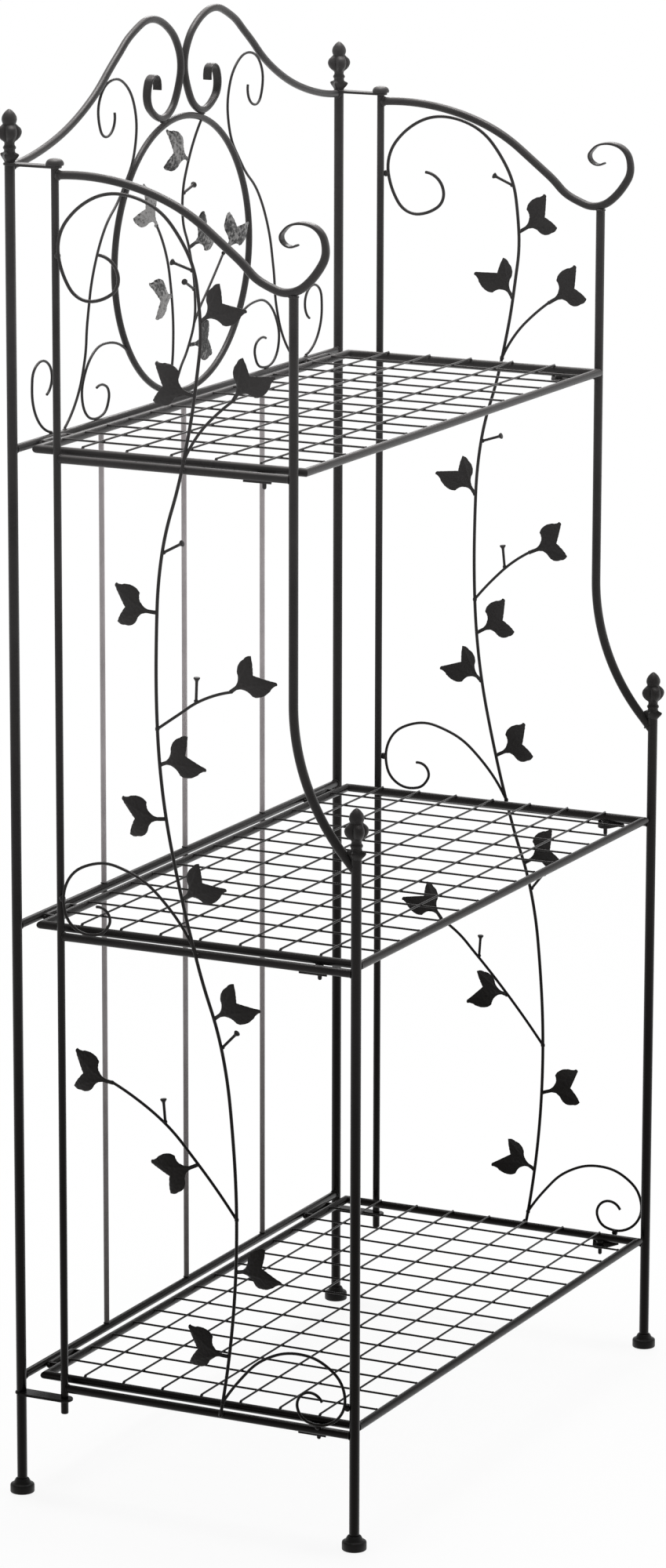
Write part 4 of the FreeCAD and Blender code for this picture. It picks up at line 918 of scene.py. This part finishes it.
look, barrels, tabs = shelfLook, Stock(), {side: Stock() for side, _ in sideSigns}
for level, rail in railHeights.items():
    z, body, title = rail + rack.shelfRise, level + "_shelf", level.title() + "Shelf"
    front, rear, half = look.front[level], look.rear, look.halfWidth
    tubes, wires, welds, locks, hinges = [Stock() for _ in range(5)]
    shelfFrame(tubes, [xyz(-half, front, z), xyz(half, front, z), xyz(half, rear, z), xyz(-half, rear, z)], look)
    tubes.make("frameOf" + title, [body + part for part in ("_front_tube", "_rear_tube", "_side_tubes")], body=body)
    longZ = z + look.radius + look.wireRadius + look.wireGap
    crossZ = z + look.radius - look.wireRadius
    longYs = evenly(rear, front, look.longWires[level])
    longEnd, (weldIn, weldDrop) = half - look.longShort, look.longWeld
    for y in longYs:
        wires.rod(xyz(-longEnd, y, longZ), xyz(longEnd, y, longZ), look.wireRadius, look.wireSides, look.longNose)
        for sign in (-1, 1):
            welds.blob(xyz(sign * (half - weldIn), y, longZ - weldDrop), "longWire", seed=y * 0.1 + sign)
    for x in evenly(-half, half, look.crossWires):
        wires.rod(xyz(x, rear - look.crossShort, crossZ), xyz(x, front + look.crossShort, crossZ), look.wireRadius,
                  look.wireSides, look.crossNose)
        for y in (rear - look.crossWeld, front + look.crossWeld):
            welds.blob(xyz(x, y, crossZ), "crossWire", seed=x * 0.1 + y)
        for y in longYs:
            welds.blob(xyz(x, y, (longZ + crossZ) / 2), "crossing", seed=x * 0.2 + y)
    wires.make("meshOf" + title, [body + "_wire_mesh"], body=body)
    lockY, halfBarrel = front + look.lockSetback, look.barrelLength / 2
    grip = halfBarrel + look.sidePlay
    pinReach = grip + look.lugThickness + look.headLength
    for side, sign in sideSigns:
        locks.turned(look.lock, xyz(sign * half, lockY, z), -up, look.lockSides)
        welds.bead(xyz(sign * half, lockY, z - look.lockWeld), up, "lockPin", seed=z * 0.1 + sign)
        tabPlate(tabs[side], sign, lockY, rail - look.tabDrop, look)
        weldIn, weldDrop = look.tabWeld
        seams.blob(xyz(sign * (halfWidth - weldIn), lockY, rail - weldDrop), "tab", seed=rail + sign)
        at = xyz(sign * look.hingeX, look.hingeY, z)
        hinges.rod(at - across * pinReach, at + across * pinReach, look.pinRadius, rack.rodSides, wireNose)
        for shift in (-grip - look.lugThickness, grip):
            lugPlate(hinges, at + across * shift, look)
            lugMiddle = at.x + shift + look.lugThickness / 2
            welds.blob(xyz(lugMiddle, rear + look.lugWeld, z), "lug", seed=z + shift)
        barrels.rod(at - across * halfBarrel, at + across * halfBarrel, look.barrelRadius, tubeSides, look.barrelNose)
        weldShift, weldBack = look.barrelWeld
        for shift in (-weldShift, weldShift):
            seams.blob(at + xyz(shift, weldBack, 0), "barrel", seed=z + shift)
    locks.make("lockPinsOf" + title, [body + "_lock_pins"], body=body)
    hinges.make("hingePinsOf" + title, [body + "_hinge_pins"], body=body)
    welds.make("weldsOf" + title, [], weldCoat, body=body, sharp=180)
barrels.make("hingeBarrels", ["shelf_hinge_barrels"])
for side, stock in tabs.items():
    stock.make("shelfTabs" + side, [side.lower() + "_shelf_tabs"])
seams.make("weldsOfFrame", [], weldCoat, sharp=180)
print("shelves and welds made")

# camera where the photograph was taken from, in metres and degrees
cameraLook = Look({
    "place": (-6.32782, -3.12435, 2.41968), "yawPitchRoll": (-63.592, 12.903, 0.139), "lens": 137.52,
    "sensor": 36, "clipEnd": 120,
})
yaw, pitch, roll = [radians(turn) for turn in cameraLook.yawPitchRoll]
aimed = Matrix.Rotation(yaw, 4, "Z") @ Matrix.Rotation(pi / 2 - pitch, 4, "X") @ Matrix.Rotation(roll, 4, "Z")
cameraData = bpy.data.cameras.new("photoCamera")
cameraData.sensor_fit, cameraData.sensor_height = "VERTICAL", cameraLook.sensor
cameraData.lens, cameraData.clip_end = cameraLook.lens, cameraLook.clipEnd
camera = bpy.data.objects.new("photoCamera", cameraData)
camera.matrix_world = Matrix.Translation(cameraLook.place) @ aimed
scene.collection.objects.link(camera)
scene.camera = camera

# soft studio: pale floor, white to the camera, white horizon, boxes of light aimed at the rack's middle:
# the main one overhead, weak ones behind and in front
studioLook = Look({
    "floorHalf": 45, "floor": (0.9, 0.9, 0.9, 1), "floorRough": 0.9, "floorGlow": 0.88, "glowFrom": 0.9,
    "glowTo": 3.5, "white": (1, 1, 1, 1), "sky": (0.3, 0.3, 0.3, 1), "skyFrom": 0.12, "skyTo": 0.4,
    "aim": (0, 0, 0.85),
    "boxes": {
        "overheadBox": ((0.5, 0.4, 7), 2.8, 330), "backBox": ((2.6, 1.1, 3.2), 1.2, 18),
        "fillBox": ((2.4, -4.2, 2), 2.6, 25)},
})


def seenDirectly(s):
    rays = s.tree.nodes.new("ShaderNodeLightPath")
    camera, glossy, through = [
        Signal(s.tree, rays.outputs["Is %s Ray" % kind]) for kind in ("Camera", "Glossy", "Transmission")]
    return s.math("MAXIMUM", s.math("MAXIMUM", camera, glossy), through)


look, reach = studioLook, studioLook.floorHalf
floorMesh = bpy.data.meshes.new("studioFloor")
corners = [(x * reach, y * reach, 0) for x, y in ((-1, -1), (1, -1), (1, 1), (-1, 1))]
floorMesh.from_pydata(corners, [], [(0, 1, 2, 3)])
floor = bpy.data.objects.new("studioFloor", floorMesh)
scene.collection.objects.link(floor)
floorMaterial, m = newMaterial("studioFloorPaint")
shader = m.tree.nodes["Principled BSDF"]
shader.inputs["Base Color"].default_value = look.floor
shader.inputs["Roughness"].default_value = look.floorRough
glow = m.node("ShaderNodeEmission", {}, {"Color": look.white, "Strength": 1})
spot = m.node("ShaderNodeTexCoord", {}, {}, "Object")
away = m.node("ShaderNodeVectorMath", {"operation": "LENGTH"}, {0: spot}, "Value")
share = away.between(look.glowFrom, look.glowTo, **{"To Min": look.floorGlow, "To Max": 1})
mixed = m.node("ShaderNodeMixShader", {}, {"Fac": seenDirectly(m) * share, 1: m, 2: glow})
m.tree.links.new(mixed.socket, m.tree.nodes["Material Output"].inputs["Surface"])
floorMesh.materials.append(floorMaterial)

world = bpy.data.worlds.new("studioWorld")
scene.world = world
world.use_nodes = True
tree = world.node_tree
w = Signal(tree, tree.nodes["Background"].outputs[0])
direction = w.node("ShaderNodeTexCoord", {}, {}, "Generated")
sky = w.mix(direction.height().between(look.skyFrom, look.skyTo), look.white, look.sky)
tree.links.new(sky.socket, tree.nodes["Background"].inputs["Color"])

for name, (place, width, power) in look.boxes.items():
    lampData = bpy.data.lights.new(name, "AREA")
    lampData.size, lampData.energy = width, power
    lamp = bpy.data.objects.new(name, lampData)
    lamp.location = place
    lamp.rotation_euler = (Vector(look.aim) - Vector(place)).to_track_quat("-Z", "Y").to_euler()
    scene.collection.objects.link(lamp)
scene.view_settings.view_transform = "Standard"
print("camera and studio made")
